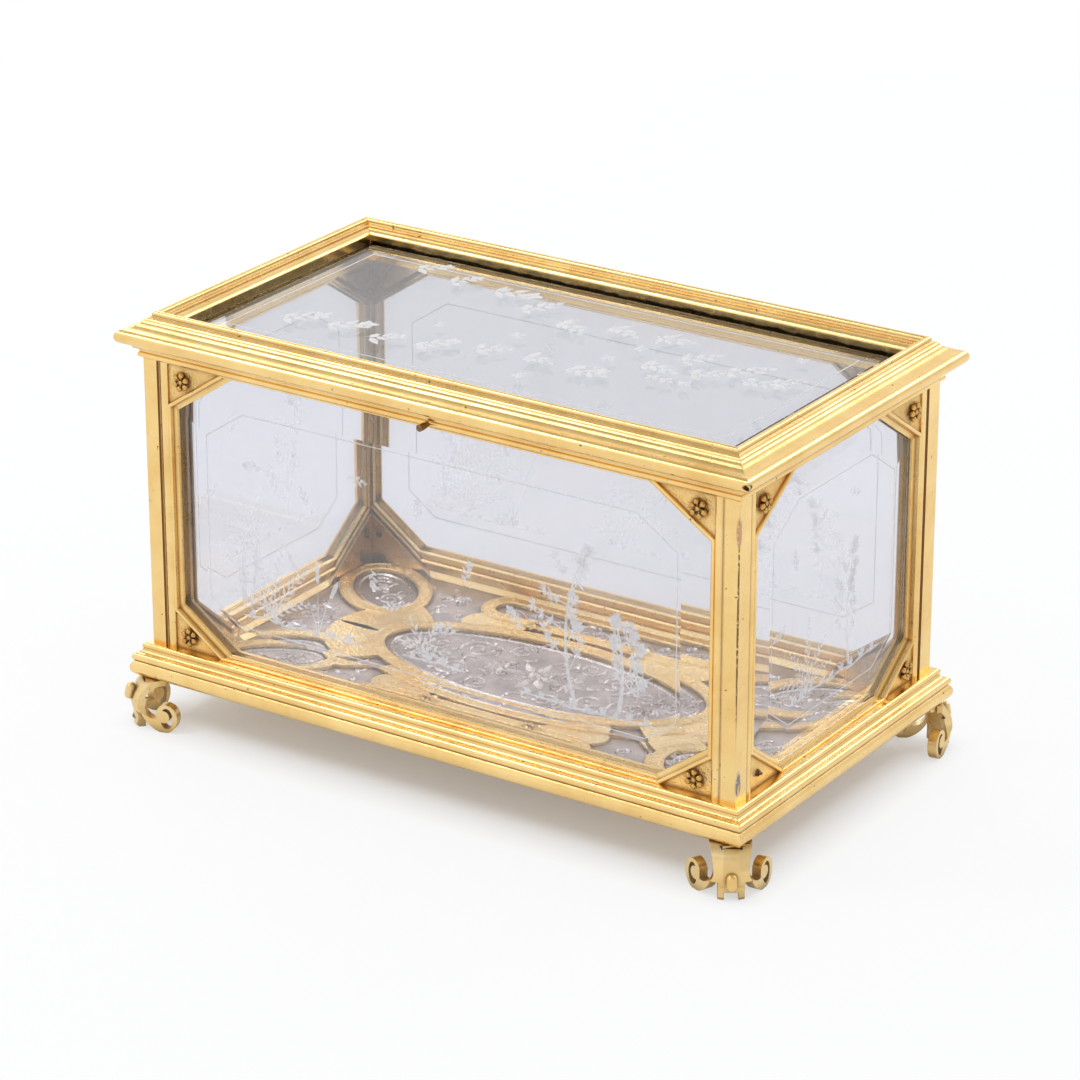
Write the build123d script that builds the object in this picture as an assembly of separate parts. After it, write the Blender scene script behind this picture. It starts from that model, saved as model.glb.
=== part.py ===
from build123d import *
import os

# A small casket: rock crystal panels held in gilt metal, on four scroll feet.
# Millimetres. The floor it stands on is z = 0, its middle is x = y = 0.
# The front looks along -Y and the lid turns on two hinges at the back.

# The body: outer faces of the corner posts, and the heights of its storeys
HALF_LENGTH = 100.0
HALF_DEPTH = 54.5
FOOT_HEIGHT = 15.0
BASE_HEIGHT = 10.2
WINDOW_HEIGHT = 89.0
TOP_RAIL_HEIGHT = 2.2

# Layers of a wall, as depths behind the outer faces of the posts
FRAME_DEPTH = 2.8
FRAME_GAP = 0.2
CRYSTAL_THICKNESS = 5.0
CRYSTAL_EDGE_GAP = 0.3
BEVEL_WIDTH = 9.0
BEVEL_RISE = 1.0
INNER_FRAME_GAP = 0.2
INNER_FRAME_DEPTH = 2.3

# Base moulding, as points (out from the post face, up from its foot)
BASE_ROLL_FOOT = (3.4, 0.0)
BASE_ROLL_TIP = (5.25, 2.7)
BASE_NECK = (4.1, 4.8)
BASE_TORUS_TIP = (4.75, 6.0)
BASE_COVE_FOOT = (3.6, 7.2)
BASE_COVE_DEEP = (2.65, 7.6)
BASE_COVE_TOP = (2.2, 8.4)
# The nose at its top, as points (out from the post face, down from its top)
BASE_NOSE_FOOT = (2.2, 1.6)
BASE_NOSE_TIP = (2.35, 0.6)
BASE_NOSE_TOP = (1.5, 0.0)
LEDGE_DEPTH = 3.5
LEDGE_THICKNESS = 2.2

# Floor
FLOOR_THICKNESS = 1.6
FLOOR_CLEARANCE = 0.2
PLAQUE_THICKNESS = 0.6
PLAQUE_CLEARANCE = 0.3
STRAP_THICKNESS = 1.2
STRAP_WIDTH = 4.4
MAIN_OVAL_LENGTH = 112.0
MAIN_OVAL_DEPTH = 50.0
CORNER_OVAL_LENGTH = 40.0
CORNER_OVAL_WIDTH = 28.0
CORNER_OVAL_TURN = 42.0
CORNER_OVAL_INSET = 16.5
LONG_OVAL_LENGTH = 82.0
LONG_OVAL_WIDTH = 17.0
CLASP_RADIUS = 2.6
CLASP_HEIGHT = 1.0
CLASP_TAPER = 30.0
CLASP_SPREAD = 36.0
CLASP_SIDES = 8

# Corner posts: a flat, a groove and a bead on each outer face
POST_WIDTH = 8.0
POST_DEPTH = 9.0
POST_BEAD_FRONT = 2.7
POST_BEAD_SIDE = 2.4
POST_GROOVE = 0.7
POST_GROOVE_DEPTH = 0.6

# Outer bead of the top rail, as points (out from the post face, up from its foot)
RAIL_BEAD_FOOT = (0.3, 0.4)
RAIL_BEAD_TIP = (1.2, 1.3)

# Octagonal window frames: widths of their bars, and how far their corners are cut
SIDE_BAR = 2.2
TOP_BAR = 1.0
FOOT_BAR = 1.4
DIAGONAL_BAR = 2.8
CUT_RUN_TOP = 19.0
CUT_RISE_TOP = 12.7
CUT_RUN_FOOT = 16.2
CUT_RISE_FOOT = 11.7
BAR_BEAD_SHARE = 0.45
BAR_BEAD_DEPTH = 0.1
BAR_BEAD_RISE = 0.5
BAR_BAND_DEPTH = 1.9
BAR_LIP_SHARE = 0.85
BAR_LIP_DEPTH = 2.3

# Corner plates behind the windows' cut corners, with rosettes pinned on them
PLATE_DEPTH = 1.1
ROSETTE_INSET_FRONT = 5.2
ROSETTE_INSET_SIDE = 4.5
ROSETTE_DROP = 4.9
ROSETTE_RISE = 4.4
PETALS = 5
PETAL_SIDES = 6
PETAL_RADIUS = 1.0
PETAL_RING = 1.75
PETAL_HEIGHT = 0.9
BUTTON_HEIGHT = 1.2
PETAL_TAPER = 24.0
PIN_RADIUS = 0.6
PIN_CLEARANCE = 0.05
PIN_STUB = 0.3
PIN_RIVET_RADIUS = 1.1
PIN_RIVET_HEIGHT = 0.5

# Inner frames: the moulding on their inner face, as shares of a bar's width, and depths
INNER_FILLET_SHARE = 0.08
INNER_COVE_SHARE = 0.3
INNER_BEAD_FOOT_SHARE = 0.58
INNER_BEAD_TOP_SHARE = 0.74
INNER_BEAD_RISE = 0.9
INNER_COVE_RISE = 1.2
INNER_BAND_RISE = 1.3

# Lid moulding, as points (out from the post face, up from the seam)
LID_BED_FOOT = (0.75, 0.0)
LID_BED_TOP = (0.9, 0.6)
LID_CAVETTO = (1.3, 1.05)
LID_STEP_FOOT = (2.2, 1.2)
LID_STEP_TOP = (2.2, 2.0)
LID_TORUS_FOOT = (3.8, 2.6)
LID_TORUS_TIP = (5.95, 4.7)
LID_TORUS_TOP = (4.2, 6.85)
LID_COVE_DEEP = (2.7, 7.1)
LID_FILLET_FOOT = (1.41, 7.75)
LID_FILLET_TOP = (0.97, 8.3)
LID_HOLLOW_DEEP = (0.15, 8.65)
LID_HOLLOW_TOP = (-0.35, 9.25)
LID_SWELL = (-0.75, 9.75)
LID_SWELL_TOP = (-1.4, 9.95)
LID_RIDGE_FOOT = (-2.1, 10.4)
LID_RIDGE_TOP = (-3.0, 11.7)
LID_RIDGE_BACK = (-3.95, 10.6)
LID_GROOVE = (-4.2, 10.1)
LID_EDGE = (-5.2, 9.9)
LID_OVOLO_TOP = (-5.3, 9.4)
LID_OVOLO = (-6.6, 9.05)
LID_SIGHT = (-7.5, 8.0)
LIP_FOOT = 5.1
CHAMBER_DEPTH = 5.0

# Lid panel and the frame that holds it from below
LID_PANEL_GAP = 0.3
LID_PANEL_EDGE = 3.6
LID_BEVEL_GAP = 0.5
LID_BEVEL_WIDTH = 3.0
LID_BEVEL_RISE = 1.4
RETAINER_GAP = 0.3
RETAINER_THICKNESS = 1.1
RETAINER_REACH = 11.0

# Scroll feet: each is drawn along its corner's diagonal, with the post corner at the origin.
# A foot's two straps are splayed below, and run straight back under the base above.
STRAP_DEPTH = 2.8
STRAP_OUT = 6.4
STRAP_ASIDE = 5.25
STRAP_SPLAY = 32.0
ARM_ASIDE = 5.9
ARM_FOOT = 9.5
# The waist that both sides of a shank are cut to, as points (aside, up from the floor)
WAIST_UPPER = (5.2, 11.5)
WAIST = (4.95, 8.5)
WAIST_LOWER = (5.4, 6.3)
WAIST_FOOT = (7.0, 4.4)
WAIST_CUT_ASIDE = 9.0
WAIST_CUT_BACK = 2.5
# Side view of a strap, as points (inward from its front edge, up from the floor)
STRAP_FRONT = -4.0
ARM_END = 9.2
ARM_TIP = (8.4, 13.0)
ARM_BELLY = (4.7, 12.1)
STRAP_HOLLOW = (2.05, 8.0)
CURL_THROAT = (3.1, 4.7)
CURL_ROOT = (6.0, 4.0)
CURL_NECK = (6.0, 6.1)
CURL_RISE = (7.2, 8.3)
CURL_CROWN = (9.4, 8.9)
CURL_SHOULDER = (11.7, 7.6)
CURL_TIP = (12.6, 4.8)
CURL_HIP = (11.8, 1.9)
CURL_SOLE_BACK = (9.4, 0.0)
CURL_SOLE_FRONT = (7.0, 0.0)
STRAP_BELLY = (3.0, 2.5)
STRAP_SHIN = (1.1, 5.4)
EYE_GAP_CENTRE = (9.2, 4.5)
EYE_GAP_WIDTH = 3.9
EYE_GAP_HEIGHT = 6.6
EYE_CENTRE = (8.15, 5.0)
EYE_RADIUS = 1.95
# Side view of the corner facet, as points (out on the diagonal, up from the floor)
FACET_SOLE = (6.3, 0.0)
FACET_TOE = (7.05, 1.0)
FACET_INSTEP = (6.55, 2.4)
FACET_ANKLE = (6.5, 3.8)
FACET_SHIN = (7.25, 6.0)
FACET_KNEE = (7.35, 7.6)
FACET_THIGH = (6.75, 10.0)
FACET_BEND = (5.4, 12.3)
FACET_NECK = (4.25, 13.8)
FACET_TOP_OUT = 2.6
FACET_WIDTH = 4.9
FLANK_TURN = 19.0
CORE_BACK = 3.8
CORE_WIDTH = 7.4
ARCH_WIDTH = 4.0
ARCH_HEIGHT = 2.2
BALL_RADIUS = 1.5
BALL_HALF_HEIGHT = 2.6
# Each foot's ball, as (out on the diagonal, up from the floor, lean), and its turn on its screw
FEET = {
    "back_right": ((7.6, 9.8, 14.0), 20.0),
    "back_left": ((7.6, 10.4, 14.0), 0.0),
    "front_left": ((7.6, 10.4, 14.0), 2.0),
    "front_right": ((8.1, 6.0, 0.0), -10.0),
}
FOOT_PLATE_FRONT = 2.5
FOOT_PLATE_FRONT_WIDTH = 7.0
FOOT_PLATE_BACK = -8.0
FOOT_PLATE_BACK_WIDTH = 10.0
FOOT_PLATE_THICKNESS = 1.1
FOOT_SCREW_INSET = 4.0
FOOT_SCREW_RADIUS = 1.2
FOOT_SCREW_HEAD_RADIUS = 2.2
FOOT_SCREW_HEAD_HEIGHT = 1.0
FOOT_SCREW_GRIP = 2.4
SCREW_CLEARANCE = 0.05

# Hinges: their barrels lie on the seam, behind the back of the body
HINGE_SHARE = 1.16
HINGE_LENGTH = 18.0
HINGE_OUT = 1.95
BARREL_RADIUS = 1.5
BARREL_CLEARANCE = 0.3
KNUCKLE_GAP = 0.2
HINGE_PIN_RADIUS = 0.75
HINGE_PIN_CLEARANCE = 0.03
HINGE_PIN_HEAD_RADIUS = 1.1
HINGE_PIN_HEAD = 0.4
LEAF_THICKNESS = 0.7
LEAF_REACH = 4.4
RIVET_SPACING = 11.0
RIVET_INSET = 2.2
RIVET_RADIUS = 0.5
RIVET_HEAD_RADIUS = 1.0
RIVET_HEAD_HEIGHT = 0.5
RIVET_LENGTH = 1.5
RIVET_CLEARANCE = 0.02

# Catch: a stud in the front rail pushes a spring blade off the lid's striker
STUD_RISE = 1.1
STUD_RADIUS = 0.8
STUD_CLEARANCE = 0.05
STUD_HEAD_RADIUS = 1.0
STUD_HEAD_LENGTH = 2.7
STUD_DOME = 0.3
STUD_TRAVEL = 1.2
STUD_STOP_GAP = 0.1
FLANGE_RADIUS = 1.0
FLANGE_GAP = 0.1
FLANGE_THICKNESS = 0.6
STUD_TIP_RADIUS = 0.6
STUD_TIP_GAP = 0.2
STRIKER_WIDTH = 9.0
STRIKER_THICKNESS = 0.8
STRIKER_FORK = 3.6
STRIKER_FORK_TOP_GAP = 0.3
TOE_DROP = 2.6
TOE_THICKNESS = 0.6
TOE_REACH = 0.8
NOSE_GAP = 0.1
NOSE_HEIGHT = 0.8
NOSE_LAP = 0.6
BLADE_THICKNESS = 0.4
BLADE_TOE_GAP = 0.3
BLADE_MARGIN = 0.2
BLADE_FIXED_FAR = 20.0
BLADE_FIXED_NEAR = 12.0
BLADE_BEND = 7.0
BLADE_END = 5.2

# Heights and depths that follow
BASE_TOP = FOOT_HEIGHT + BASE_HEIGHT
WINDOW_TOP = BASE_TOP + WINDOW_HEIGHT
SEAM = WINDOW_TOP + TOP_RAIL_HEIGHT
LEDGE_TOP = FOOT_HEIGHT + LEDGE_THICKNESS
FLOOR_TOP = LEDGE_TOP + FLOOR_THICKNESS
CRYSTAL_FRONT = FRAME_DEPTH + FRAME_GAP
CRYSTAL_BACK = CRYSTAL_FRONT + CRYSTAL_THICKNESS
INNER_FRONT = CRYSTAL_BACK + INNER_FRAME_GAP
INNER_BACK = INNER_FRONT + INNER_FRAME_DEPTH
TALL = SEAM + FOOT_HEIGHT
HINGE_SPACING = HALF_LENGTH * HINGE_SHARE

# Each side of the casket: half its run, the distance of its post face, its turn from the front
SIDES = {
    "front": (HALF_LENGTH, HALF_DEPTH, 0, POST_WIDTH),
    "right": (HALF_DEPTH, HALF_LENGTH, 90, POST_DEPTH),
    "back": (HALF_LENGTH, HALF_DEPTH, 180, POST_WIDTH),
    "left": (HALF_DEPTH, HALF_LENGTH, 270, POST_DEPTH),
}
CORNERS = {
    "back_right": (1, 1, 0),
    "back_left": (-1, 1, 90),
    "front_left": (-1, -1, 180),
    "front_right": (1, -1, 270),
}


def outline(start, *steps):
    """A closed face: a step is an end point, or a point on an arc and the arc's end."""
    edges = []
    here = start
    for step in steps:
        if isinstance(step[0], tuple):
            through, end = step
            edges.append(ThreePointArc(here, through, end))
        else:
            end = step
            edges.append(Line(here, end))
        here = end
    edges.append(Line(here, start))
    return make_face(edges)


def prism(face, low, high):
    """A face of the local XY plane, drawn up from one height to another."""
    return extrude(Pos(0, 0, low) * face, amount=high - low, dir=(0, 0, 1))


def block(x_low, x_high, y_low, y_high, z_low, z_high):
    """A box between two corners."""
    corners = [(x_low, y_low), (x_high, y_low), (x_high, y_high), (x_low, y_high)]
    return prism(make_face(Polyline(*corners, close=True)), z_low, z_high)


def rod(radius, start, end):
    """A round bar along X, from one x to another, on the local X axis."""
    return Pos(start, 0, 0) * Rot(0, 90, 0) * prism(Circle(radius), 0, end - start)


def raised(point, height):
    """A profile point moved up."""
    return (point[0], point[1] + height)


def on_side(side, shape):
    """Place a shape drawn as (along, up, out from the post face) on one side of the casket."""
    _, distance, turn, _ = SIDES[side]
    face = Plane(origin=(0, -distance, 0), x_dir=(1, 0, 0), z_dir=(0, -1, 0))
    return Rot(0, 0, turn) * (face * shape)


def write(node, *shapes):
    """Write one node; its solids stay separate."""
    solids = [solid for shape in shapes for solid in shape.solids()]
    export_step(solids[0] if len(solids) == 1 else Compound(children=solids), f"parts/{node}.step")


def mitre(before, after, width_before, width_after):
    """The step from a polygon's corner to the inner corner of two bars of given widths."""
    lean = before.dot(after)
    spread = 1 - lean * lean
    along_before = (width_before - lean * width_after) / spread
    along_after = (width_after - lean * width_before) / spread
    return before * along_before + after * along_after


def inset(corners, widths):
    """The corners of a counterclockwise polygon, each edge moved in by its own width."""
    count = len(corners)
    points = [Vector(*corner) for corner in corners]
    runs = [(points[(i + 1) % count] - points[i]).normalized() for i in range(count)]
    inward = [run.rotate(Axis.Z, 90) for run in runs]
    return [points[i] + mitre(inward[i - 1], inward[i], widths[i - 1], widths[i]) for i in range(count)]


def mitred_bars(corners, widths, sections, low, high, overhang=0.0):
    """Bars along a counterclockwise polygon's edges, their ends cut on the mitres.

    A section is drawn as (out from the edge, up). Overhang says how far the mitres run
    on outside the corners, as a share of their length inside them.
    """
    count = len(corners)
    outer = [Vector(*corner) for corner in corners]
    inner = inset(corners, widths)
    far = [outer[i] + (outer[i] - inner[i]) * overhang for i in range(count)]
    bars = []
    for i in range(count):
        j = (i + 1) % count
        run = outer[j] - outer[i]
        trim = prism(make_face(Polyline(far[i], far[j], inner[j], inner[i], close=True)), low, high)
        outward = run.normalized().rotate(Axis.Z, -90)
        across = Plane(origin=(outer[i] + outer[j]) * 0.5, x_dir=outward, z_dir=-run.normalized())
        bar = extrude(across * sections[i], amount=run.length, both=True)
        bars.append(bar & trim)
    return bars


def rail_corners():
    """The four post corners, so that the bars come out as front, right, back and left."""
    return [
        (-HALF_LENGTH, -HALF_DEPTH),
        (HALF_LENGTH, -HALF_DEPTH),
        (HALF_LENGTH, HALF_DEPTH),
        (-HALF_LENGTH, HALF_DEPTH),
    ]


def rails(section, reach, overhang):
    """Four mitred rails round the casket, by the name of their side."""
    bars = mitred_bars(rail_corners(), [reach] * 4, [section] * 4, -TALL, 2 * TALL, overhang)
    return dict(zip(SIDES, bars))


def post_space(side):
    """Half the run between the posts of a side."""
    half_run, _, _, post = SIDES[side]
    return half_run - post


def octagon(half, low, high, run_foot, rise_foot, run_top, rise_top):
    """A rectangle with its four corners cut, counterclockwise."""
    return [
        (-half + run_foot, low),
        (half - run_foot, low),
        (half, low + rise_foot),
        (half, high - rise_top),
        (half - run_top, high),
        (-half + run_top, high),
        (-half, high - rise_top),
        (-half, low + rise_foot),
    ]


def window_octagon(side):
    """The outer lines of a window's bars."""
    half = post_space(side)
    return octagon(
        half, BASE_TOP, WINDOW_TOP, CUT_RUN_FOOT, CUT_RISE_FOOT, CUT_RUN_TOP, CUT_RISE_TOP
    )


WINDOW_BARS = [
    FOOT_BAR,
    DIAGONAL_BAR,
    SIDE_BAR,
    DIAGONAL_BAR,
    TOP_BAR,
    DIAGONAL_BAR,
    SIDE_BAR,
    DIAGONAL_BAR,
]


def cut_corner(half, height, run, rise, across, up):
    """The triangle that a cut corner leaves, at one corner of a wall."""
    return make_face(
        Polyline(
            (across * half, height),
            (across * (half - run), height),
            (across * half, height - up * rise),
            close=True,
        )
    )


def base_rails():
    """The base moulding: a roll, a torus, a cove and a nose, with a ledge inside for the floor."""
    foot = [
        raised(point, FOOT_HEIGHT)
        for point in (
            BASE_ROLL_FOOT,
            BASE_ROLL_TIP,
            BASE_NECK,
            BASE_TORUS_TIP,
            BASE_COVE_FOOT,
            BASE_COVE_DEEP,
            BASE_COVE_TOP,
        )
    ]
    nose = [(out, BASE_TOP - down) for out, down in (BASE_NOSE_FOOT, BASE_NOSE_TIP, BASE_NOSE_TOP)]
    reach = CRYSTAL_BACK + LEDGE_DEPTH
    section = outline(
        (-reach, FOOT_HEIGHT),
        foot[0],
        (foot[1], foot[2]),
        (foot[3], foot[4]),
        (foot[5], foot[6]),
        nose[0],
        (nose[1], nose[2]),
        (-CRYSTAL_BACK, BASE_TOP),
        (-CRYSTAL_BACK, LEDGE_TOP),
        (-reach, LEDGE_TOP),
    )
    return rails(section, reach, 1.0)


def top_rails():
    """The rail under the seam, with a bead along its outer face."""
    section = outline(
        (-INNER_BACK, WINDOW_TOP),
        (0, WINDOW_TOP),
        raised(RAIL_BEAD_FOOT, WINDOW_TOP),
        (raised(RAIL_BEAD_TIP, WINDOW_TOP), (RAIL_BEAD_FOOT[0], SEAM)),
        (-INNER_BACK, SEAM),
    )
    return rails(section, INNER_BACK, 1.0)


def lid_rails():
    """The lid moulding: bed, torus, cove, ogee and ridge outside, an ovolo down to the panel."""
    section = outline(
        (-CHAMBER_DEPTH, SEAM),
        raised(LID_BED_FOOT, SEAM),
        raised(LID_BED_TOP, SEAM),
        (raised(LID_CAVETTO, SEAM), raised(LID_STEP_FOOT, SEAM)),
        raised(LID_STEP_TOP, SEAM),
        raised(LID_TORUS_FOOT, SEAM),
        (raised(LID_TORUS_TIP, SEAM), raised(LID_TORUS_TOP, SEAM)),
        (raised(LID_COVE_DEEP, SEAM), raised(LID_FILLET_FOOT, SEAM)),
        raised(LID_FILLET_TOP, SEAM),
        (raised(LID_HOLLOW_DEEP, SEAM), raised(LID_HOLLOW_TOP, SEAM)),
        (raised(LID_SWELL, SEAM), raised(LID_SWELL_TOP, SEAM)),
        raised(LID_RIDGE_FOOT, SEAM),
        (raised(LID_RIDGE_TOP, SEAM), raised(LID_RIDGE_BACK, SEAM)),
        raised(LID_GROOVE, SEAM),
        raised(LID_EDGE, SEAM),
        raised(LID_OVOLO_TOP, SEAM),
        (raised(LID_OVOLO, SEAM), raised(LID_SIGHT, SEAM)),
        (LID_SIGHT[0], SEAM + LIP_FOOT),
        (-CHAMBER_DEPTH, SEAM + LIP_FOOT),
    )
    return rails(section, -LID_SIGHT[0], 1.0)


def post():
    """A corner post: plan drawn with its outer corner at the origin, outward along +X and +Y."""
    front_groove = -POST_WIDTH + POST_BEAD_FRONT + POST_GROOVE
    side_groove = -POST_DEPTH + POST_BEAD_SIDE + POST_GROOVE
    plan = outline(
        (0, 0),
        (front_groove, 0),
        (front_groove, -POST_GROOVE_DEPTH),
        (front_groove - POST_GROOVE, -POST_GROOVE_DEPTH),
        ((-POST_WIDTH + POST_BEAD_FRONT / 2, 0), (-POST_WIDTH, -POST_GROOVE_DEPTH)),
        (-POST_WIDTH, -POST_DEPTH),
        (-POST_GROOVE_DEPTH, -POST_DEPTH),
        ((0, -POST_DEPTH + POST_BEAD_SIDE / 2), (-POST_GROOVE_DEPTH, side_groove - POST_GROOVE)),
        (-POST_GROOVE_DEPTH, side_groove),
        (0, side_groove),
    )
    return Pos(HALF_LENGTH, HALF_DEPTH, 0) * prism(plan, BASE_TOP, WINDOW_TOP)


def bar_section(width):
    """A window bar: a bead along its outer edge, a sunk band, and a thin lip at the opening."""
    bead = width * BAR_BEAD_SHARE
    bead_side = -BAR_BEAD_DEPTH - BAR_BEAD_RISE
    return outline(
        (0, -FRAME_DEPTH),
        (0, bead_side),
        ((-bead / 2, -BAR_BEAD_DEPTH), (-bead, bead_side)),
        (-bead, -BAR_BAND_DEPTH),
        (-width * BAR_LIP_SHARE, -BAR_LIP_DEPTH),
        (-width, -BAR_LIP_DEPTH),
        (-width, -FRAME_DEPTH),
    )


def window_frame(side):
    """Eight beaded bars round a window, mitred where they meet."""
    sections = [bar_section(width) for width in WINDOW_BARS]
    bars = mitred_bars(window_octagon(side), WINDOW_BARS, sections, -FRAME_DEPTH, 0)
    return [on_side(side, bar) for bar in bars]


def rosette_places(side):
    """The four rosettes of a side, as (along, up)."""
    inset_along = ROSETTE_INSET_FRONT if side in ("front", "back") else ROSETTE_INSET_SIDE
    along = post_space(side) - inset_along
    low = BASE_TOP + ROSETTE_RISE
    high = WINDOW_TOP - ROSETTE_DROP
    return [(-along, low), (along, low), (along, high), (-along, high)]


def pin_hole(place):
    """The hole for a rosette's pin."""
    return Pos(*place) * prism(Circle(PIN_RADIUS + PIN_CLEARANCE), -INNER_BACK * 2, INNER_BACK)


def corner_plates(side):
    """Four triangular plates that fill a window's cut corners."""
    half = post_space(side)
    low = (BASE_TOP, CUT_RUN_FOOT, CUT_RISE_FOOT, -1)
    high = (WINDOW_TOP, CUT_RUN_TOP, CUT_RISE_TOP, 1)
    plates = []
    for place in rosette_places(side):
        height, run, rise, up = low if place[1] < WINDOW_TOP - ROSETTE_DROP else high
        across = 1 if place[0] > 0 else -1
        triangle = cut_corner(half, height, run, rise, across, up)
        plates.append(prism(triangle, -FRAME_DEPTH, -PLATE_DEPTH) - pin_hole(place))
    return [on_side(side, plate) for plate in plates]


def rosette():
    """A ring of blunt petals round a middle button."""
    petal = extrude(RegularPolygon(PETAL_RADIUS, PETAL_SIDES), PETAL_HEIGHT, taper=PETAL_TAPER)
    flower = extrude(RegularPolygon(PETAL_RADIUS, PETAL_SIDES), BUTTON_HEIGHT, taper=PETAL_TAPER)
    for i in range(PETALS):
        flower += Rot(0, 0, 360 / PETALS * i) * Pos(PETAL_RING, 0, 0) * petal
    return Pos(0, 0, -PLATE_DEPTH + PIN_STUB) * flower


def rosettes(side):
    """The rosettes of a side; the right side has lost the lower one near the front."""
    places = rosette_places(side)
    if side == "right":
        places = places[1:]
    return [on_side(side, Pos(*place) * rosette()) for place in places]


def rosette_pins():
    """A pin behind each rosette, through its corner plate and riveted over the inner frame."""
    pins = []
    for side in SIDES:
        for place in rosette_places(side):
            shank = prism(Circle(PIN_RADIUS), -INNER_BACK, -PLATE_DEPTH + PIN_STUB)
            rivet = extrude(
                Pos(0, 0, -INNER_BACK) * RegularPolygon(PIN_RIVET_RADIUS, CLASP_SIDES),
                PIN_RIVET_HEIGHT,
                dir=(0, 0, -1),
            )
            pins.append(on_side(side, Pos(*place) * (shank + rivet)))
    return pins


def crystal(side):
    """An octagonal pane, with a broad bevel round its outer face."""
    edge = inset(window_octagon(side), [CRYSTAL_EDGE_GAP] * len(WINDOW_BARS))
    opening = inset(window_octagon(side), WINDOW_BARS)
    table = inset(window_octagon(side), [bar + BEVEL_WIDTH for bar in WINDOW_BARS])
    edge_face, opening_face, table_face = [
        make_face(Polyline(*corners, close=True)) for corners in (edge, opening, table)
    ]
    pane = prism(edge_face, -CRYSTAL_BACK, -CRYSTAL_FRONT)
    bevel = loft(
        [Pos(0, 0, -CRYSTAL_FRONT) * opening_face, Pos(0, 0, BEVEL_RISE - CRYSTAL_FRONT) * table_face],
        ruled=True,
    )
    return on_side(side, pane + bevel)


def inner_section(width):
    """An inner frame's bar: fillet, cove, bead and flat band, on the face towards the inside."""
    band = -INNER_FRONT - INNER_BAND_RISE
    bead_foot = -width * INNER_BEAD_FOOT_SHARE
    bead_top = -width * INNER_BEAD_TOP_SHARE
    bead_side = -INNER_BACK + INNER_BEAD_RISE
    cove = -INNER_FRONT - INNER_COVE_RISE
    return outline(
        (0, -INNER_FRONT),
        (0, -INNER_BACK),
        (-width * INNER_FILLET_SHARE, -INNER_BACK),
        (-width * INNER_COVE_SHARE, cove),
        (bead_foot, bead_side),
        (((bead_foot + bead_top) / 2, -INNER_BACK), (bead_top, bead_side)),
        (-width, band),
        (-width, -INNER_FRONT),
    )


def inner_frame(side):
    """The frame that holds a pane from inside: eight bars and four corner webs."""
    half = post_space(side) - CRYSTAL_EDGE_GAP
    if side in ("left", "right"):
        half = HALF_DEPTH - INNER_BACK - INNER_FRAME_GAP
    slack = post_space(side) - half
    lean = CUT_RUN_FOOT / CUT_RISE_FOOT
    drop = BASE_TOP - FLOOR_TOP
    run_foot = CUT_RUN_FOOT + drop * lean - slack
    rise_foot = run_foot / lean
    run_top = CUT_RUN_TOP - slack
    rise_top = run_top * CUT_RISE_TOP / CUT_RUN_TOP
    corners = octagon(half, FLOOR_TOP, WINDOW_TOP, run_foot, rise_foot, run_top, rise_top)
    widths = list(WINDOW_BARS)
    widths[0] = FOOT_BAR + drop
    widths[2] = max(SIDE_BAR - slack, SIDE_BAR / 2)
    widths[6] = widths[2]
    sections = [inner_section(width) for width in widths]
    bars = mitred_bars(corners, widths, sections, -INNER_BACK, -INNER_FRONT)
    webs = []
    for place in rosette_places(side):
        low_corner = place[1] < WINDOW_TOP - ROSETTE_DROP
        across = 1 if place[0] > 0 else -1
        if low_corner:
            web = cut_corner(half, FLOOR_TOP, run_foot, rise_foot, across, -1)
        else:
            web = cut_corner(half, WINDOW_TOP, run_top, rise_top, across, 1)
        webs.append(prism(web, -INNER_BACK, -INNER_FRONT) - pin_hole(place))
    return [on_side(side, piece) for piece in bars + webs]


def floor_plate():
    """The plate on the base's ledge."""
    half_x = HALF_LENGTH - CRYSTAL_BACK - FLOOR_CLEARANCE
    half_y = HALF_DEPTH - CRYSTAL_BACK - FLOOR_CLEARANCE
    return block(-half_x, half_x, -half_y, half_y, LEDGE_TOP, FLOOR_TOP)


def plaque_half_sizes():
    """Half the length and depth of the plaque between the inner frames."""
    margin = INNER_BACK + PLAQUE_CLEARANCE
    return HALF_LENGTH - margin, HALF_DEPTH - margin


def floor_plaque():
    """The plaque on the floor, between the inner frames."""
    half_x, half_y = plaque_half_sizes()
    return block(-half_x, half_x, -half_y, half_y, FLOOR_TOP, FLOOR_TOP + PLAQUE_THICKNESS)


def oval_band(length, width):
    """A flat band round an oval, of the straps' width."""
    outer = Ellipse(length / 2, width / 2)
    return outer - Ellipse(length / 2 - STRAP_WIDTH, width / 2 - STRAP_WIDTH)


def floor_strapwork():
    """Flat straps laid on the plaque: a long middle oval, four corner ovals, two slots."""
    half_x, half_y = plaque_half_sizes()
    straps = oval_band(MAIN_OVAL_LENGTH, MAIN_OVAL_DEPTH)
    slot_y = half_y - LONG_OVAL_WIDTH / 2
    for across in (-1, 1):
        for along in (-1, 1):
            place = Pos(along * (half_x - CORNER_OVAL_INSET), across * (half_y - CORNER_OVAL_INSET))
            turn = Rot(0, 0, along * across * CORNER_OVAL_TURN)
            straps += place * turn * oval_band(CORNER_OVAL_LENGTH, CORNER_OVAL_WIDTH)
        slot = SlotOverall(LONG_OVAL_LENGTH, LONG_OVAL_WIDTH)
        slot -= SlotOverall(LONG_OVAL_LENGTH - 2 * STRAP_WIDTH, LONG_OVAL_WIDTH - 2 * STRAP_WIDTH)
        straps += Pos(0, across * slot_y) * slot
    window = make_face(
        Polyline((-half_x, -half_y), (half_x, -half_y), (half_x, half_y), (-half_x, half_y), close=True)
    )
    low = FLOOR_TOP + PLAQUE_THICKNESS
    return [prism(face, low, low + STRAP_THICKNESS) for face in (straps & window).faces()]


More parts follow.
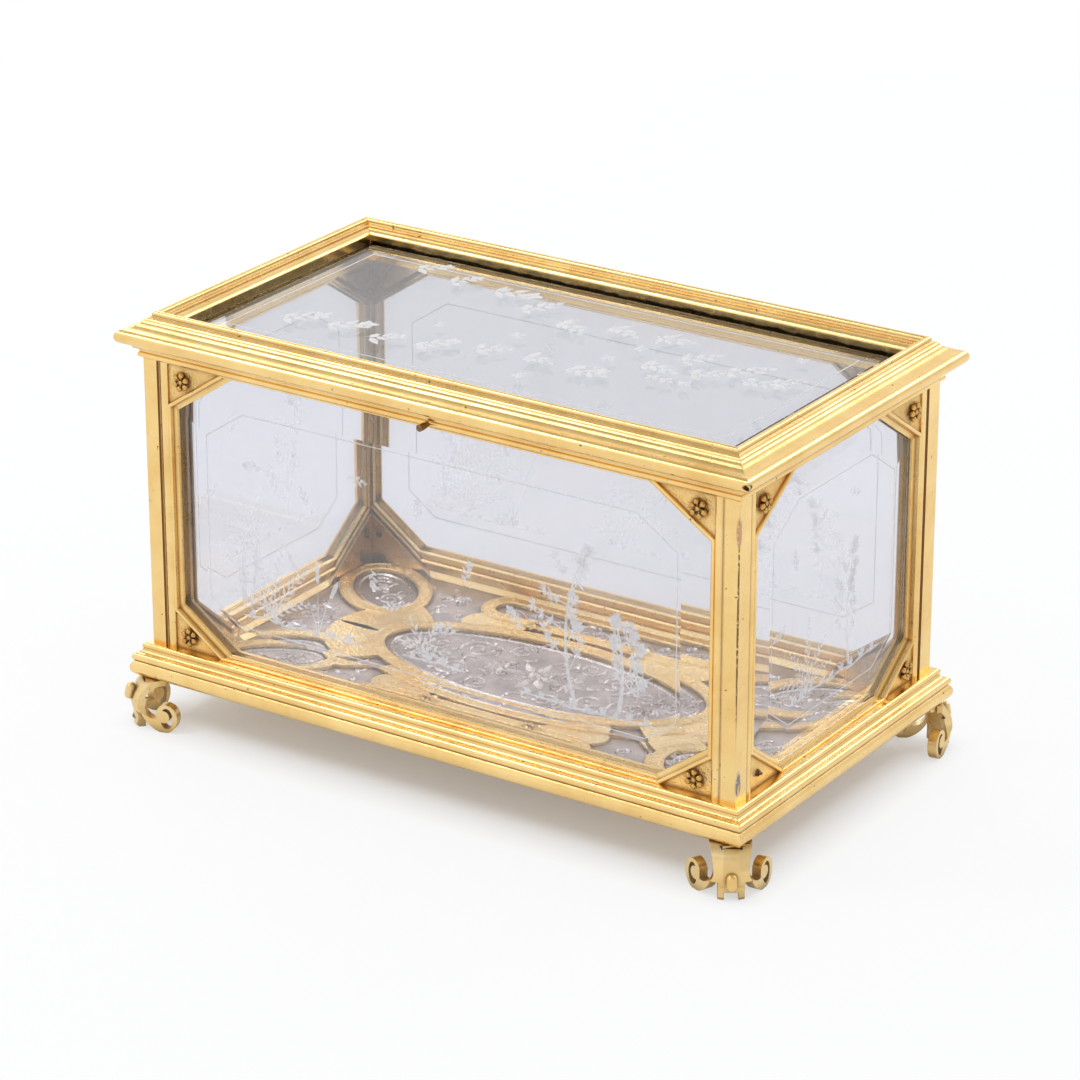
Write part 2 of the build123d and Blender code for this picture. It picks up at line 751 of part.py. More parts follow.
def floor_clasps():
    """Four leaf clasps where the middle oval meets the slots."""
    half_x, half_y = plaque_half_sizes()
    clasps = []
    low = FLOOR_TOP + PLAQUE_THICKNESS + STRAP_THICKNESS
    leaf = extrude(RegularPolygon(CLASP_RADIUS, CLASP_SIDES), CLASP_HEIGHT, taper=CLASP_TAPER)
    for across in (-1, 1):
        for along in (-1, 1):
            place = Pos(along * CLASP_SPREAD / 2, across * (half_y - LONG_OVAL_WIDTH + STRAP_WIDTH / 2), low)
            clasps.append(place * leaf)
    return clasps


def strap_face():
    """Side view of a foot's strap: arm, hollow back and curl, with an eye in the curl."""
    body = outline(
        (STRAP_FRONT, FOOT_HEIGHT),
        (ARM_END, FOOT_HEIGHT),
        ARM_TIP,
        (ARM_BELLY, STRAP_HOLLOW),
        (CURL_THROAT, CURL_ROOT),
        CURL_NECK,
        (CURL_RISE, CURL_CROWN),
        (CURL_SHOULDER, CURL_TIP),
        (CURL_HIP, CURL_SOLE_BACK),
        CURL_SOLE_FRONT,
        (STRAP_BELLY, STRAP_SHIN),
        (STRAP_FRONT, STRAP_SHIN[1]),
    )
    gap = Pos(*EYE_GAP_CENTRE) * Ellipse(EYE_GAP_WIDTH / 2, EYE_GAP_HEIGHT / 2)
    return body - gap + Pos(*EYE_CENTRE) * Circle(EYE_RADIUS)


def strap():
    """A foot's strap on its +Y side, its outer face leaning into the splay below the arm."""
    upright = Plane(origin=(0, 0, 0), x_dir=(-1, 0, 0), z_dir=(0, 1, 0))
    slab = extrude(upright * strap_face(), amount=-STRAP_DEPTH)
    below = Pos(STRAP_OUT, STRAP_ASIDE, 0) * Rot(0, 0, -STRAP_SPLAY) * slab
    below = below & prism(Circle(TALL), 0, ARM_FOOT)
    above = Pos(STRAP_OUT, ARM_ASIDE, 0) * slab
    above = above & prism(Circle(TALL), ARM_FOOT, FOOT_HEIGHT)
    return below - waist_cut(WAIST_CUT_BACK) + (above - waist_cut(-ARM_END))


def waist_cut(back):
    """What the +Y side of a foot loses to its waist, from a distance out on the diagonal."""
    waist = outline(
        (ARM_ASIDE, FOOT_HEIGHT),
        (WAIST_UPPER, WAIST),
        (WAIST_LOWER, WAIST_FOOT),
        (WAIST_CUT_ASIDE, WAIST_FOOT[1]),
        (WAIST_CUT_ASIDE, FOOT_HEIGHT),
    )
    facing_out = Plane(origin=(back, 0, 0), x_dir=(0, 1, 0), z_dir=(1, 0, 0))
    return extrude(facing_out * waist, amount=4 * STRAP_OUT)


def facet_cut():
    """All that lies behind the corner facet, in the facet's side view."""
    view = outline(
        (-3 * STRAP_OUT, 0),
        FACET_SOLE,
        FACET_TOE,
        (FACET_INSTEP, FACET_ANKLE),
        (FACET_SHIN, FACET_KNEE),
        (FACET_THIGH, FACET_BEND),
        (FACET_NECK, (FACET_TOP_OUT, FOOT_HEIGHT)),
        (-3 * STRAP_OUT, FOOT_HEIGHT),
    )
    side_on = Plane(origin=(0, 0, 0), x_dir=(1, 0, 0), z_dir=(0, -1, 0))
    return extrude(side_on * view, amount=6 * STRAP_OUT, both=True)


def foot_ball():
    """The ball on a foot's facet: a short rod with round ends, upright at the origin."""
    round_end = BALL_HALF_HEIGHT - BALL_RADIUS
    slant = BALL_RADIUS / 2**0.5
    half_ball = outline(
        (0, -BALL_HALF_HEIGHT),
        ((slant, -round_end - slant), (BALL_RADIUS, -round_end)),
        (BALL_RADIUS, round_end),
        ((slant, round_end + slant), (0, BALL_HALF_HEIGHT)),
    )
    return revolve(Plane.XZ * half_ball, Axis.Z)


def foot(ball):
    """A foot: two scroll straps that spread from a corner facet with a ball on it.

    It is drawn on the X axis and turned at last to the diagonal of its corner.
    """
    first_strap = strap()
    core = block(CORE_BACK, 2 * STRAP_OUT, -CORE_WIDTH / 2, CORE_WIDTH / 2, 0, FOOT_HEIGHT)
    body = first_strap + mirror(first_strap, about=Plane.XZ) + core
    cut = facet_cut()
    body = body & cut
    knee_out = FACET_KNEE[0]
    for hand in (1, -1):
        edge = Pos(knee_out, hand * FACET_WIDTH / 2, 0)
        body = body & (edge * Rot(0, 0, hand * FLANK_TURN) * Pos(-knee_out, 0, 0) * cut)
    body = body - block(0, 2 * STRAP_OUT, -ARCH_WIDTH / 2, ARCH_WIDTH / 2, 0, ARCH_HEIGHT)
    out, up, lean = ball
    body = body + Pos(out, 0, up) * Rot(0, -lean, 0) * foot_ball()
    plate_face = Polyline(
        (FOOT_PLATE_FRONT, FOOT_PLATE_FRONT_WIDTH / 2),
        (FOOT_PLATE_BACK, FOOT_PLATE_BACK_WIDTH / 2),
        (FOOT_PLATE_BACK, -FOOT_PLATE_BACK_WIDTH / 2),
        (FOOT_PLATE_FRONT, -FOOT_PLATE_FRONT_WIDTH / 2),
        close=True,
    )
    body = body + prism(make_face(plate_face), FOOT_HEIGHT - FOOT_PLATE_THICKNESS, FOOT_HEIGHT)
    return Rot(0, 0, 45) * body - screw_hole()


def screw_hole():
    """The hole for a foot's screw, up into the base."""
    hole = prism(Circle(FOOT_SCREW_RADIUS + SCREW_CLEARANCE), 0, FOOT_HEIGHT + FOOT_SCREW_GRIP)
    return Pos(-FOOT_SCREW_INSET, -FOOT_SCREW_INSET, 0) * hole


def foot_screw():
    """A foot's screw, its head under the foot's plate."""
    under = FOOT_HEIGHT - FOOT_PLATE_THICKNESS
    shank = prism(Circle(FOOT_SCREW_RADIUS), under, FOOT_HEIGHT + FOOT_SCREW_GRIP - SCREW_CLEARANCE)
    head = prism(Circle(FOOT_SCREW_HEAD_RADIUS), under - FOOT_SCREW_HEAD_HEIGHT, under)
    return Pos(-FOOT_SCREW_INSET, -FOOT_SCREW_INSET, 0) * (shank + head)


def at_corner(corner, shape):
    """Place a shape drawn at the back right post corner at another one."""
    across, along, turn = CORNERS[corner]
    return Pos(across * HALF_LENGTH, along * HALF_DEPTH, 0) * Rot(0, 0, turn) * shape


def turned_on_screw(shape, turn):
    """Turn a foot about its screw."""
    screw = Pos(-FOOT_SCREW_INSET, -FOOT_SCREW_INSET, 0)
    return screw * Rot(0, 0, turn) * screw.inverse() * shape


def lid_panel():
    """The lid's pane, its bevelled top showing inside the moulding."""
    low = SEAM + RETAINER_GAP + RETAINER_THICKNESS
    edge_top = low + LID_PANEL_EDGE
    depths = (
        CHAMBER_DEPTH + LID_PANEL_GAP,
        -LID_SIGHT[0] + LID_BEVEL_GAP,
        -LID_SIGHT[0] + LID_BEVEL_GAP + LID_BEVEL_WIDTH,
    )
    faces = [
        make_face(Polyline(*inset(rail_corners(), [depth] * 4), close=True)) for depth in depths
    ]
    pane = prism(faces[0], low, edge_top)
    bevel = loft(
        [Pos(0, 0, edge_top) * faces[1], Pos(0, 0, edge_top + LID_BEVEL_RISE) * faces[2]], ruled=True
    )
    return pane + bevel


def lid_retainer():
    """Four flat mitred strips under the lid's panel."""
    low = SEAM + RETAINER_GAP
    section = outline(
        (-CHAMBER_DEPTH, low),
        (-CHAMBER_DEPTH, low + RETAINER_THICKNESS),
        (-RETAINER_REACH, low + RETAINER_THICKNESS),
        (-RETAINER_REACH, low),
    )
    return rails(section, RETAINER_REACH, 0.0).values()


def hinge_places():
    """The two hinges, as distances along the back."""
    return {"left": HINGE_SPACING / 2, "right": -HINGE_SPACING / 2}


def barrel_axis(along):
    """From a rod on the local X axis to the hinge's axis, at one hinge."""
    return Pos(along, SEAM, HINGE_OUT)


def knuckle_ends():
    """The three knuckles' ends along the hinge, with a gap between neighbours."""
    third = HINGE_LENGTH / 3
    half = HINGE_LENGTH / 2
    return [
        (-half, -half + third - KNUCKLE_GAP / 2),
        (-half + third + KNUCKLE_GAP / 2, half - third - KNUCKLE_GAP / 2),
        (half - third + KNUCKLE_GAP / 2, half),
    ]


def hinge_leaf(along, up, knuckles):
    """A leaf let into the seam, above it for up = 1 and below for -1, with its knuckles."""
    half = HINGE_LENGTH / 2
    low, high = sorted((SEAM, SEAM + up * LEAF_THICKNESS))
    leaf_edge = HINGE_OUT - BARREL_RADIUS - BARREL_CLEARANCE
    leaf = block(along - half, along + half, low, high, -LEAF_REACH, leaf_edge)
    for start, end in knuckles:
        leaf += block(along + start, along + end, low, high, -LEAF_REACH, HINGE_OUT)
        leaf += barrel_axis(along) * rod(BARREL_RADIUS, start, end)
    leaf -= barrel_axis(along) * rod(HINGE_PIN_RADIUS + HINGE_PIN_CLEARANCE, -half, half)
    for spot in rivet_spots(along):
        leaf -= rivet(spot, up, RIVET_CLEARANCE)
    return on_side("back", leaf)


def rivet_spots(along):
    """The rivets of one leaf, as distances along the back."""
    return [along - RIVET_SPACING / 2, along + RIVET_SPACING / 2]


def rivet(along, up, clearance):
    """A countersunk rivet from the seam into a rail, as (along, up, out)."""
    head = RIVET_HEAD_RADIUS + clearance
    shank = RIVET_RADIUS + clearance
    half = outline(
        (0, 0),
        (head, 0),
        (shank, RIVET_HEAD_HEIGHT + clearance),
        (shank, RIVET_LENGTH + clearance),
        (0, RIVET_LENGTH + clearance),
    )
    turned = revolve(half, Axis.Y)
    if up < 0:
        turned = mirror(turned, about=Plane.XZ)
    return Pos(along, SEAM, -RIVET_INSET) * turned


def hinge_pocket(along, up):
    """What a rail loses to a hinge: the leaf's recess and the room round the barrel."""
    half = HINGE_LENGTH / 2
    leaf_low, leaf_high = sorted((SEAM, SEAM + up * LEAF_THICKNESS))
    room = BARREL_RADIUS + BARREL_CLEARANCE
    room_low, room_high = sorted((SEAM, SEAM + up * room))
    leaf_edge = HINGE_OUT - room
    recess = block(along - half, along + half, leaf_low, leaf_high, -LEAF_REACH, leaf_edge)
    end = half + HINGE_PIN_HEAD + BARREL_CLEARANCE
    barrel = block(along - end, along + end, room_low, room_high, leaf_edge, HINGE_OUT * 4)
    pocket = recess + barrel
    for spot in rivet_spots(along):
        pocket += rivet(spot, up, RIVET_CLEARANCE)
    return on_side("back", pocket)


def hinge_pin(along):
    """A hinge's pin, with a small head at each end."""
    half = HINGE_LENGTH / 2
    pin = rod(HINGE_PIN_RADIUS, -half - HINGE_PIN_HEAD, half + HINGE_PIN_HEAD)
    pin += rod(HINGE_PIN_HEAD_RADIUS, -half - HINGE_PIN_HEAD, -half)
    pin += rod(HINGE_PIN_HEAD_RADIUS, half, half + HINGE_PIN_HEAD)
    return on_side("back", barrel_axis(along) * pin)


# The catch, drawn at the front as (along, up, out)
STRIKER_FACE = -RETAINER_REACH
STRIKER_BACK = STRIKER_FACE - STRIKER_THICKNESS
TOE_BACK = STRIKER_BACK - TOE_REACH
BLADE_FACE = TOE_BACK - BLADE_TOE_GAP
TOE_FOOT = SEAM - TOE_DROP
STUD_HEIGHT = WINDOW_TOP + STUD_RISE
STUD_HEAD_BACK = RAIL_BEAD_TIP[0] + STUD_TRAVEL + STUD_STOP_GAP


def dome_drop(radius, rise, out):
    """How far a dome of a given radius and rise has dropped at a distance out from its middle."""
    sphere = (radius**2 + rise**2) / (2 * rise)
    return sphere - (sphere**2 - out**2) ** 0.5


def stud_axis(shape):
    """Turn a shape drawn along the local Z axis to the stud's axis."""
    return on_side("front", Pos(0, STUD_HEIGHT, 0) * shape)


def stud_hole():
    """The hole for the stud, through the front rail."""
    return stud_axis(prism(Circle(STUD_RADIUS + STUD_CLEARANCE), -2 * INNER_BACK, INNER_BACK))


def push_stud():
    """The stud: a domed head outside, a shank in the rail, a flange and a tip inside."""
    flange_out = -INNER_BACK - FLANGE_GAP
    flange_in = flange_out - FLANGE_THICKNESS
    head_end = STUD_HEAD_BACK + STUD_HEAD_LENGTH
    half_way = STUD_HEAD_RADIUS / 2
    half = outline(
        (0, BLADE_FACE + STUD_TIP_GAP),
        (STUD_TIP_RADIUS, BLADE_FACE + STUD_TIP_GAP),
        (STUD_TIP_RADIUS, flange_in),
        (FLANGE_RADIUS, flange_in),
        (FLANGE_RADIUS, flange_out),
        (STUD_RADIUS, flange_out),
        (STUD_RADIUS, STUD_HEAD_BACK),
        (STUD_HEAD_RADIUS, STUD_HEAD_BACK),
        (STUD_HEAD_RADIUS, head_end - STUD_DOME),
        ((half_way, head_end - dome_drop(STUD_HEAD_RADIUS, STUD_DOME, half_way)), (0, head_end)),
    )
    return stud_axis(revolve(Plane.XZ * half, Axis.Z))


def striker():
    """The lid's striker: a fork that straddles the stud, with a toe on each leg."""
    half = STRIKER_WIDTH / 2
    fork = STRIKER_FORK / 2
    top = SEAM + RETAINER_GAP + RETAINER_THICKNESS
    fork_top = SEAM + RETAINER_GAP - STRIKER_FORK_TOP_GAP
    plate = block(-half, half, TOE_FOOT, top, STRIKER_BACK, STRIKER_FACE)
    plate += block(-half, half, TOE_FOOT, TOE_FOOT + TOE_THICKNESS, TOE_BACK, STRIKER_BACK)
    plate -= block(-fork, fork, TOE_FOOT, fork_top, TOE_BACK, STRIKER_FACE)
    return on_side("front", plate)


def catch_spring():
    """The spring blade on the rail's inner face, with a nose over each toe of the striker."""
    low = WINDOW_TOP + BLADE_MARGIN
    high = SEAM - BLADE_MARGIN
    root = -INNER_BACK
    plan = outline(
        (-BLADE_FIXED_FAR, root),
        (-BLADE_FIXED_NEAR, root),
        (-BLADE_BEND, BLADE_FACE),
        (BLADE_END, BLADE_FACE),
        (BLADE_END, BLADE_FACE - BLADE_THICKNESS),
        (-BLADE_BEND, BLADE_FACE - BLADE_THICKNESS),
        (-BLADE_FIXED_NEAR, root - BLADE_THICKNESS),
        (-BLADE_FIXED_FAR, root - BLADE_THICKNESS),
    )
    level = Plane(origin=(0, 0, 0), x_dir=(1, 0, 0), z_dir=(0, -1, 0))
    blade = extrude(level * plan, amount=high - low, dir=(0, 1, 0))
    blade = Pos(0, low, 0) * blade
    nose_low = TOE_FOOT + TOE_THICKNESS + NOSE_GAP
    for across in (-1, 1):
        near, far = sorted((across * STRIKER_FORK / 2, across * STRIKER_WIDTH / 2))
        nose = block(near, far, nose_low, nose_low + NOSE_HEIGHT, BLADE_FACE, TOE_BACK + NOSE_LAP)
        blade += nose
    return on_side("front", blade)


def build():
    """Make every node of the casket."""
    os.makedirs("parts", exist_ok=True)
    base = base_rails()
    for corner in CORNERS:
        hole = at_corner(corner, screw_hole())
        base = {side: rail - hole for side, rail in base.items()}
    top = top_rails()
    lid = lid_rails()
    top["front"] = top["front"] - stud_hole()
    for along in hinge_places().values():
        top["back"] = top["back"] - hinge_pocket(along, -1)
        lid["back"] = lid["back"] - hinge_pocket(along, 1)

    for side in SIDES:
        write(f"base_rail_{side}", base[side])
        write(f"top_rail_{side}", top[side])
        write(f"lid_rail_{side}", lid[side])
        write(f"window_frame_{side}", *window_frame(side))
        write(f"corner_plates_{side}", *corner_plates(side))
        write(f"rosettes_{side}", *rosettes(side))
        write(f"crystal_{side}", crystal(side))
        write(f"inner_frame_{side}", *inner_frame(side))
    write("rosette_pins", *rosette_pins())

    first_post = post()
    flipped_post = mirror(first_post, about=Plane.YZ)
    write("post_back_right", first_post)
    write("post_back_left", flipped_post)
    write("post_front_left", Rot(0, 0, 180) * first_post)
    write("post_front_right", Rot(0, 0, 180) * flipped_post)

    for corner in CORNERS:
        ball, turn = FEET[corner]
        write(f"foot_{corner}", at_corner(corner, turned_on_screw(foot(ball), turn)))
    write("foot_screws", *[at_corner(corner, foot_screw()) for corner in CORNERS])

    write("floor_plate", floor_plate())
    write("floor_plaque", floor_plaque())
    write("floor_strapwork", *floor_strapwork())
    write("floor_clasps", *floor_clasps())

    write("lid_crystal", lid_panel())
    write("lid_retainer", *lid_retainer())
    outer_low, middle, outer_high = knuckle_ends()
    for name, along in hinge_places().items():
        write(f"hinge_leaf_body_{name}", hinge_leaf(along, -1, [outer_low, outer_high]))
        write(f"hinge_leaf_lid_{name}", hinge_leaf(along, 1, [middle]))
        write(f"hinge_pin_{name}", hinge_pin(along))
    spots = [spot for along in hinge_places().values() for spot in rivet_spots(along)]
    write("hinge_rivets_body", *[on_side("back", rivet(spot, -1, 0)) for spot in spots])
    write("hinge_rivets_lid", *[on_side("back", rivet(spot, 1, 0)) for spot in spots])

    write("push_stud", push_stud())
    write("striker", striker())
    write("catch_spring", catch_spring())


build()
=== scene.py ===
import math
import random

import bmesh
import bpy
from mathutils import Matrix, Vector


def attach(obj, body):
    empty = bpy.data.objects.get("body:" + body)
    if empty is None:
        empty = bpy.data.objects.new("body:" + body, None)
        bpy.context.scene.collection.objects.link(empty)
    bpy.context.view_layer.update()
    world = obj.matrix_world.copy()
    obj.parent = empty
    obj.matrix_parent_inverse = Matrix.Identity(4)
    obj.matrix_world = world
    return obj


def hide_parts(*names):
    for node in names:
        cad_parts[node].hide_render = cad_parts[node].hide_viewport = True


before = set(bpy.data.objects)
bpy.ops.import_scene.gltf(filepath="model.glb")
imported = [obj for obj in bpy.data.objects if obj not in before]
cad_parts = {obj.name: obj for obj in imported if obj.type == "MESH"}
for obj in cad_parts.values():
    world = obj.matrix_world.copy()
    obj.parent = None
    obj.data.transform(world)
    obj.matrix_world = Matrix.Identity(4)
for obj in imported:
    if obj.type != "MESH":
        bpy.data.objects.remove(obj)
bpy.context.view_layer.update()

# The casket stands on z = 0 with its front towards -Y. Its sizes and its ornament are in millimetres;
# materials, worn places, camera and studio are in metres.
MM = 0.001

# Camera: where it looks from, in degrees, what it looks at, and its lens in millimetres
AZIMUTH = 33.578
ELEVATION = 22.472
DISTANCE = 1.2686
TARGET = (0.00004, 0.00054, 0.06152)
LENS = 146.03
SENSOR = 36.0

# Colours, linear
GOLD = (0.98, 0.705, 0.30, 1)
GOLD_DEEP = (0.86, 0.56, 0.20, 1)
GOLD_PALE = (0.98, 0.78, 0.42, 1)
GOLD_ROSE = (1.0, 0.77, 0.38, 1)
GOLD_WARM = (1.0, 0.66, 0.25, 1)
GOLD_BROWN = (0.33, 0.18, 0.09, 1)
BROWN_BLACK = (0.03, 0.018, 0.01, 1)
WELL_SHADE_BROWN = (0.055, 0.035, 0.014, 1)
SEAM_BROWN = (0.20, 0.12, 0.05, 1)
PINK_BROWN = (0.55, 0.33, 0.19, 1)
BARE_METAL = (0.24, 0.21, 0.23, 1)
SILVER = (0.66, 0.56, 0.51, 1)
SILVER_DARK = (0.38, 0.32, 0.29, 1)
SILVER_LIGHT = (0.92, 0.85, 0.80, 1)
SILVER_BLACK = (0.05, 0.042, 0.04, 1)
DARK_BROWN = (0.17, 0.105, 0.065, 1)
ROSETTE_GOLD = (0.78, 0.47, 0.14, 1)
ROSETTE_BROWN = (0.55, 0.29, 0.085, 1)
FOOT_GOLD = (0.88, 0.69, 0.37, 1)
FOOT_OLIVE = (0.42, 0.31, 0.15, 1)
FROST = (0.97, 0.97, 0.985, 1)
CRYSTAL_TINT = (0.875, 0.876, 0.908, 1)
LID_TINT = (0.71, 0.713, 0.744, 1)
SHADOW_TINT = (0.93, 0.93, 0.95, 1)
FLOOR_TINT = (0.90, 0.93, 0.975, 1)
WHITE = (1, 1, 1, 1)

# How much crystal bends light, and how far metal edges are rounded
CRYSTAL_IOR = 1.45
EDGE_RADIUS = 0.00018

# Sizes of the casket
HALF_LENGTH = 100.0
HALF_DEPTH = 54.5
FOOT_HEIGHT = 15.0
BASE_TOP = 25.2
WINDOW_TOP = 114.2
POST_WIDTH = 8.0
POST_DEPTH = 9.0
BAR_SIDE = 2.2
BAR_TOP = 1.0
BAR_FOOT = 1.4
BAR_CUT = 2.8
CUT_RUN_TOP = 19.0
CUT_RISE_TOP = 12.7
CUT_RUN_FOOT = 16.2
CUT_RISE_FOOT = 11.7
BEVEL_WIDTH = 9.0
LID_TABLE_TOP = 122.8
PLAQUE_TOP = 19.4
STRAP_TOP = 20.6
PLAQUE_HALF_X = 89.2
PLAQUE_HALF_Y = 43.7

# How far out from a side's post face the crystal and the corner plates show
TABLE_OUT = -2.0
PLATE_OUT = -1.0

# The sides: the distance of the post face, the turn, and half the room between the posts
SIDES = {
    "front": (HALF_DEPTH, 0, HALF_LENGTH - POST_WIDTH),
    "right": (HALF_LENGTH, 90, HALF_DEPTH - POST_DEPTH),
    "back": (HALF_DEPTH, 180, HALF_LENGTH - POST_WIDTH),
    "left": (HALF_LENGTH, 270, HALF_DEPTH - POST_DEPTH),
}
NEAR_SIDES = ("front", "right")

# The four quarters of the plan, as signs along X and Y
QUARTERS = ((-1, -1), (1, -1), (-1, 1), (1, 1))

# Engraving: how deep ornament sits in its ground, how far cut leaves rise, and the border lines
SUNK = 0.02
CUT_RISE = 0.06
BORDER_GAP = 1.2
BORDER_WIDTH = 0.35
LID_BORDER = (83.7, 36.6)
LID_BORDER_WIDTH = 0.5

# Sprigs that drift above the plants on a long and a short wall
LONG_DRIFT = (
    (-60, 88), (-44, 79), (-30, 92), (-22, 66), (-6, 84), (-12, 57), (10, 69), (20, 90), (8, 54), (30, 60),
)
SHORT_DRIFT = ((-20, 82), (-8, 92), (-26, 68), (14, 94))

# Sprigs and flowers on the lid: their number, the rows that they follow, and their reach to either side
LID_SPRIGS = 20
LID_FLOWERS = 12
LID_ROWS = (-24, 20, 2, 31, -12, 10)
LID_LEFT = -74
LID_RIGHT = 72

# Rosettes: from the posts, the base and the top rail to their middles, and their beads
ROSETTE_INSET_LONG = 5.2
ROSETTE_INSET_SHORT = 4.5
ROSETTE_ABOVE_BASE = 4.4
ROSETTE_BELOW_RAIL = 4.9
ROSETTE_BEADS = 6
ROSETTE_RING = 2.0

# The filling behind a foot's neck, dark as painted shade, on the diagonal through the post's corner
NECK_OUT = (1.6, 3.2)
NECK_HALF = 4.0
NECK_HEIGHT = 2.2
NECK_GAP = 0.05

# Floor: ovals and slots in gilt straps on the silver plaque
MAIN_OVAL = (112.0, 50.0)
CORNER_OVAL = (40.0, 28.0)
CORNER_OVAL_TURN = 42.0
CORNER_OVAL_INSET = 16.5
LONG_SLOT = (82.0, 17.0)
LONG_SLOT_OUT = PLAQUE_HALF_Y - LONG_SLOT[1] / 2
STRAP_WIDTH = 4.4
FILLET_INSET = 0.45
CHASING_SUNK = 0.03
MAIN_LINE_INSET = 6.6
CORNER_LINE_INSET = 6.2
CURLS = 230
CLASP_ALONG = 18.0

# Gilt plates that join the straps, drawn in the quarter towards +X and +Y, each a step lower than the last
JUNCTIONS = (
    ((53.0, -1.0), (71.0, -1.0), (70.5, 4.0), (69.0, 9.0), (66.5, 13.5), (58.0, 14.5), (52.5, 9.0)),
    ((44.0, 13.0), (51.0, 8.0), (60.0, 11.0), (61.0, 17.0), (56.5, 23.5), (49.5, 18.3)),
    (
        (52.0, 6.0), (58.0, 4.0), (66.5, 6.0), (67.0, 13.5),
        (60.0, 19.0), (54.0, 20.0), (50.0, 15.0), (49.5, 9.0),
    ),
    ((20.0, 22.3), (31.0, 18.5), (38.0, 17.5), (41.0, 22.0), (38.5, 29.0), (30.0, 28.5), (20.0, 27.5)),
)
JUNCTION_STEP = 0.05

# Worn places: where, how far along each axis, and what shows there
WORN = (
    ((0.1000, -0.0545, 0.078), (0.0005, 0.0005, 0.036), SEAM_BROWN),
    ((0.1000, -0.0545, 0.105), (0.0012, 0.0014, 0.005), PINK_BROWN),
    ((0.1000, -0.0530, 0.031), (0.0012, 0.0016, 0.0042), BARE_METAL),
)
LID_WORN = (((0.1059, -0.0604, 0.1212), (0.0022, 0.0022, 0.0010), BROWN_BLACK),)

# Where the inner frames take a painted brown reflection towards the upright corners, how much from low to
# high, and the lid's well of painted shade
CORNER_X = (0.070, 0.078)
CORNER_Y = (0.025, 0.031)
CORNER_Z = (0.022, 0.100)
CORNER_SHARE = (0.42, 0.87)
WELL_X = (0.0924, 0.0921)
WELL_Y = (0.0473, 0.0471)
WELL_Z = (0.1238, 0.1232)
WELL_UNEVEN = 0.0016

# Studio: the floor's size and where it fades to white
FLOOR_SIZE = 8.0
FADE_NEAR = 0.30
FADE_FAR = 0.75

# Painted light: plain white glow in the floor that lightens its shadow: under the casket, added outside it,
# and as the metal mirrors it
UNDER_WASH = 0.2
OUTER_WASH = 0.63
MIRRORED_WASH = 0.55
WASH_X = (0.094, 0.112)
WASH_Y = (0.047, 0.068)

# The room as light, and how grey the metal mirrors its ceiling and its right side
ROOM_LIGHT = 0.86
CEILING_GREY = (0.46, 0.46, 0.46, 1)
RIGHT_GREY = (0.72, 0.72, 0.72, 1)

# Lamps: name, place, size and power
LAMPS = (
    ("key", (-0.55, -0.45, 0.85), 0.28, 1.5),
    ("side", (0.45, 0.85, 0.65), 0.3, 1.0),
    ("back", (-0.85, 0.62, 0.62), 0.45, 1.5),
)


# Shader nodes

def wire(tree, source, target):
    tree.links.new(source, target)


def feed(tree, value, socket):
    """Give a socket a value, or the output of another node."""
    if isinstance(value, bpy.types.NodeSocket):
        wire(tree, value, socket)
    else:
        socket.default_value = value


def new_material(name):
    """An empty material, its node tree and the socket for its surface."""
    material = bpy.data.materials.new(name)
    material.use_nodes = True
    tree = material.node_tree
    tree.nodes.clear()
    output = tree.nodes.new("ShaderNodeOutputMaterial")
    return material, tree, output.inputs["Surface"]


def new_metal(tree):
    metal = tree.nodes.new("ShaderNodeBsdfPrincipled")
    metal.inputs["Metallic"].default_value = 1.0
    return metal


def noise(tree, scale, detail=4.0):
    """Noise in object space."""
    place = tree.nodes.new("ShaderNodeTexCoord")
    texture = tree.nodes.new("ShaderNodeTexNoise")
    texture.inputs["Scale"].default_value = scale
    texture.inputs["Detail"].default_value = detail
    texture.inputs["Roughness"].default_value = 0.55
    wire(tree, place.outputs["Object"], texture.inputs["Vector"])
    return texture.outputs["Fac"]


def ramp(tree, source, low, high, first=0.0, last=1.0):
    """A value that goes from first to last as the source goes from low to high."""
    node = tree.nodes.new("ShaderNodeMapRange")
    node.inputs["From Min"].default_value = low
    node.inputs["From Max"].default_value = high
    node.inputs["To Min"].default_value = first
    node.inputs["To Max"].default_value = last
    wire(tree, source, node.inputs["Value"])
    return node.outputs["Result"]


def blend_colour(tree, factor, first, second):
    """Two colours mixed; each may be a value or an output."""
    node = tree.nodes.new("ShaderNodeMix")
    node.data_type = "RGBA"
    factors = [socket for socket in node.inputs if socket.type == "VALUE"]
    colours = [socket for socket in node.inputs if socket.type == "RGBA"]
    wire(tree, factor, factors[0])
    feed(tree, first, colours[0])
    feed(tree, second, colours[1])
    return [socket for socket in node.outputs if socket.type == "RGBA"][0]


def mix_shaders(tree, factor, first, second):
    """Two shaders mixed; the factor may be a value or an output."""
    mix = tree.nodes.new("ShaderNodeMixShader")
    feed(tree, factor, mix.inputs[0])
    wire(tree, first, mix.inputs[1])
    wire(tree, second, mix.inputs[2])
    return mix.outputs["Shader"]


def math_node(tree, operation, first, second=0.0):
    node = tree.nodes.new("ShaderNodeMath")
    node.operation = operation
    feed(tree, first, node.inputs[0])
    feed(tree, second, node.inputs[1])
    return node.outputs[0]


def times(tree, first, second):
    return math_node(tree, "MULTIPLY", first, second)


def vector_node(tree, operation, source, constant=(0, 0, 0)):
    node = tree.nodes.new("ShaderNodeVectorMath")
    node.operation = operation
    node.inputs[1].default_value = constant
    wire(tree, source, node.inputs[0])
    return node


def bump(tree, height, strength, distance, normal=None):
    """A normal roughened by a height."""
    node = tree.nodes.new("ShaderNodeBump")
    node.inputs["Strength"].default_value = strength
    node.inputs["Distance"].default_value = distance
    wire(tree, height, node.inputs["Height"])
    if normal:
        wire(tree, normal, node.inputs["Normal"])
    return node.outputs["Normal"]


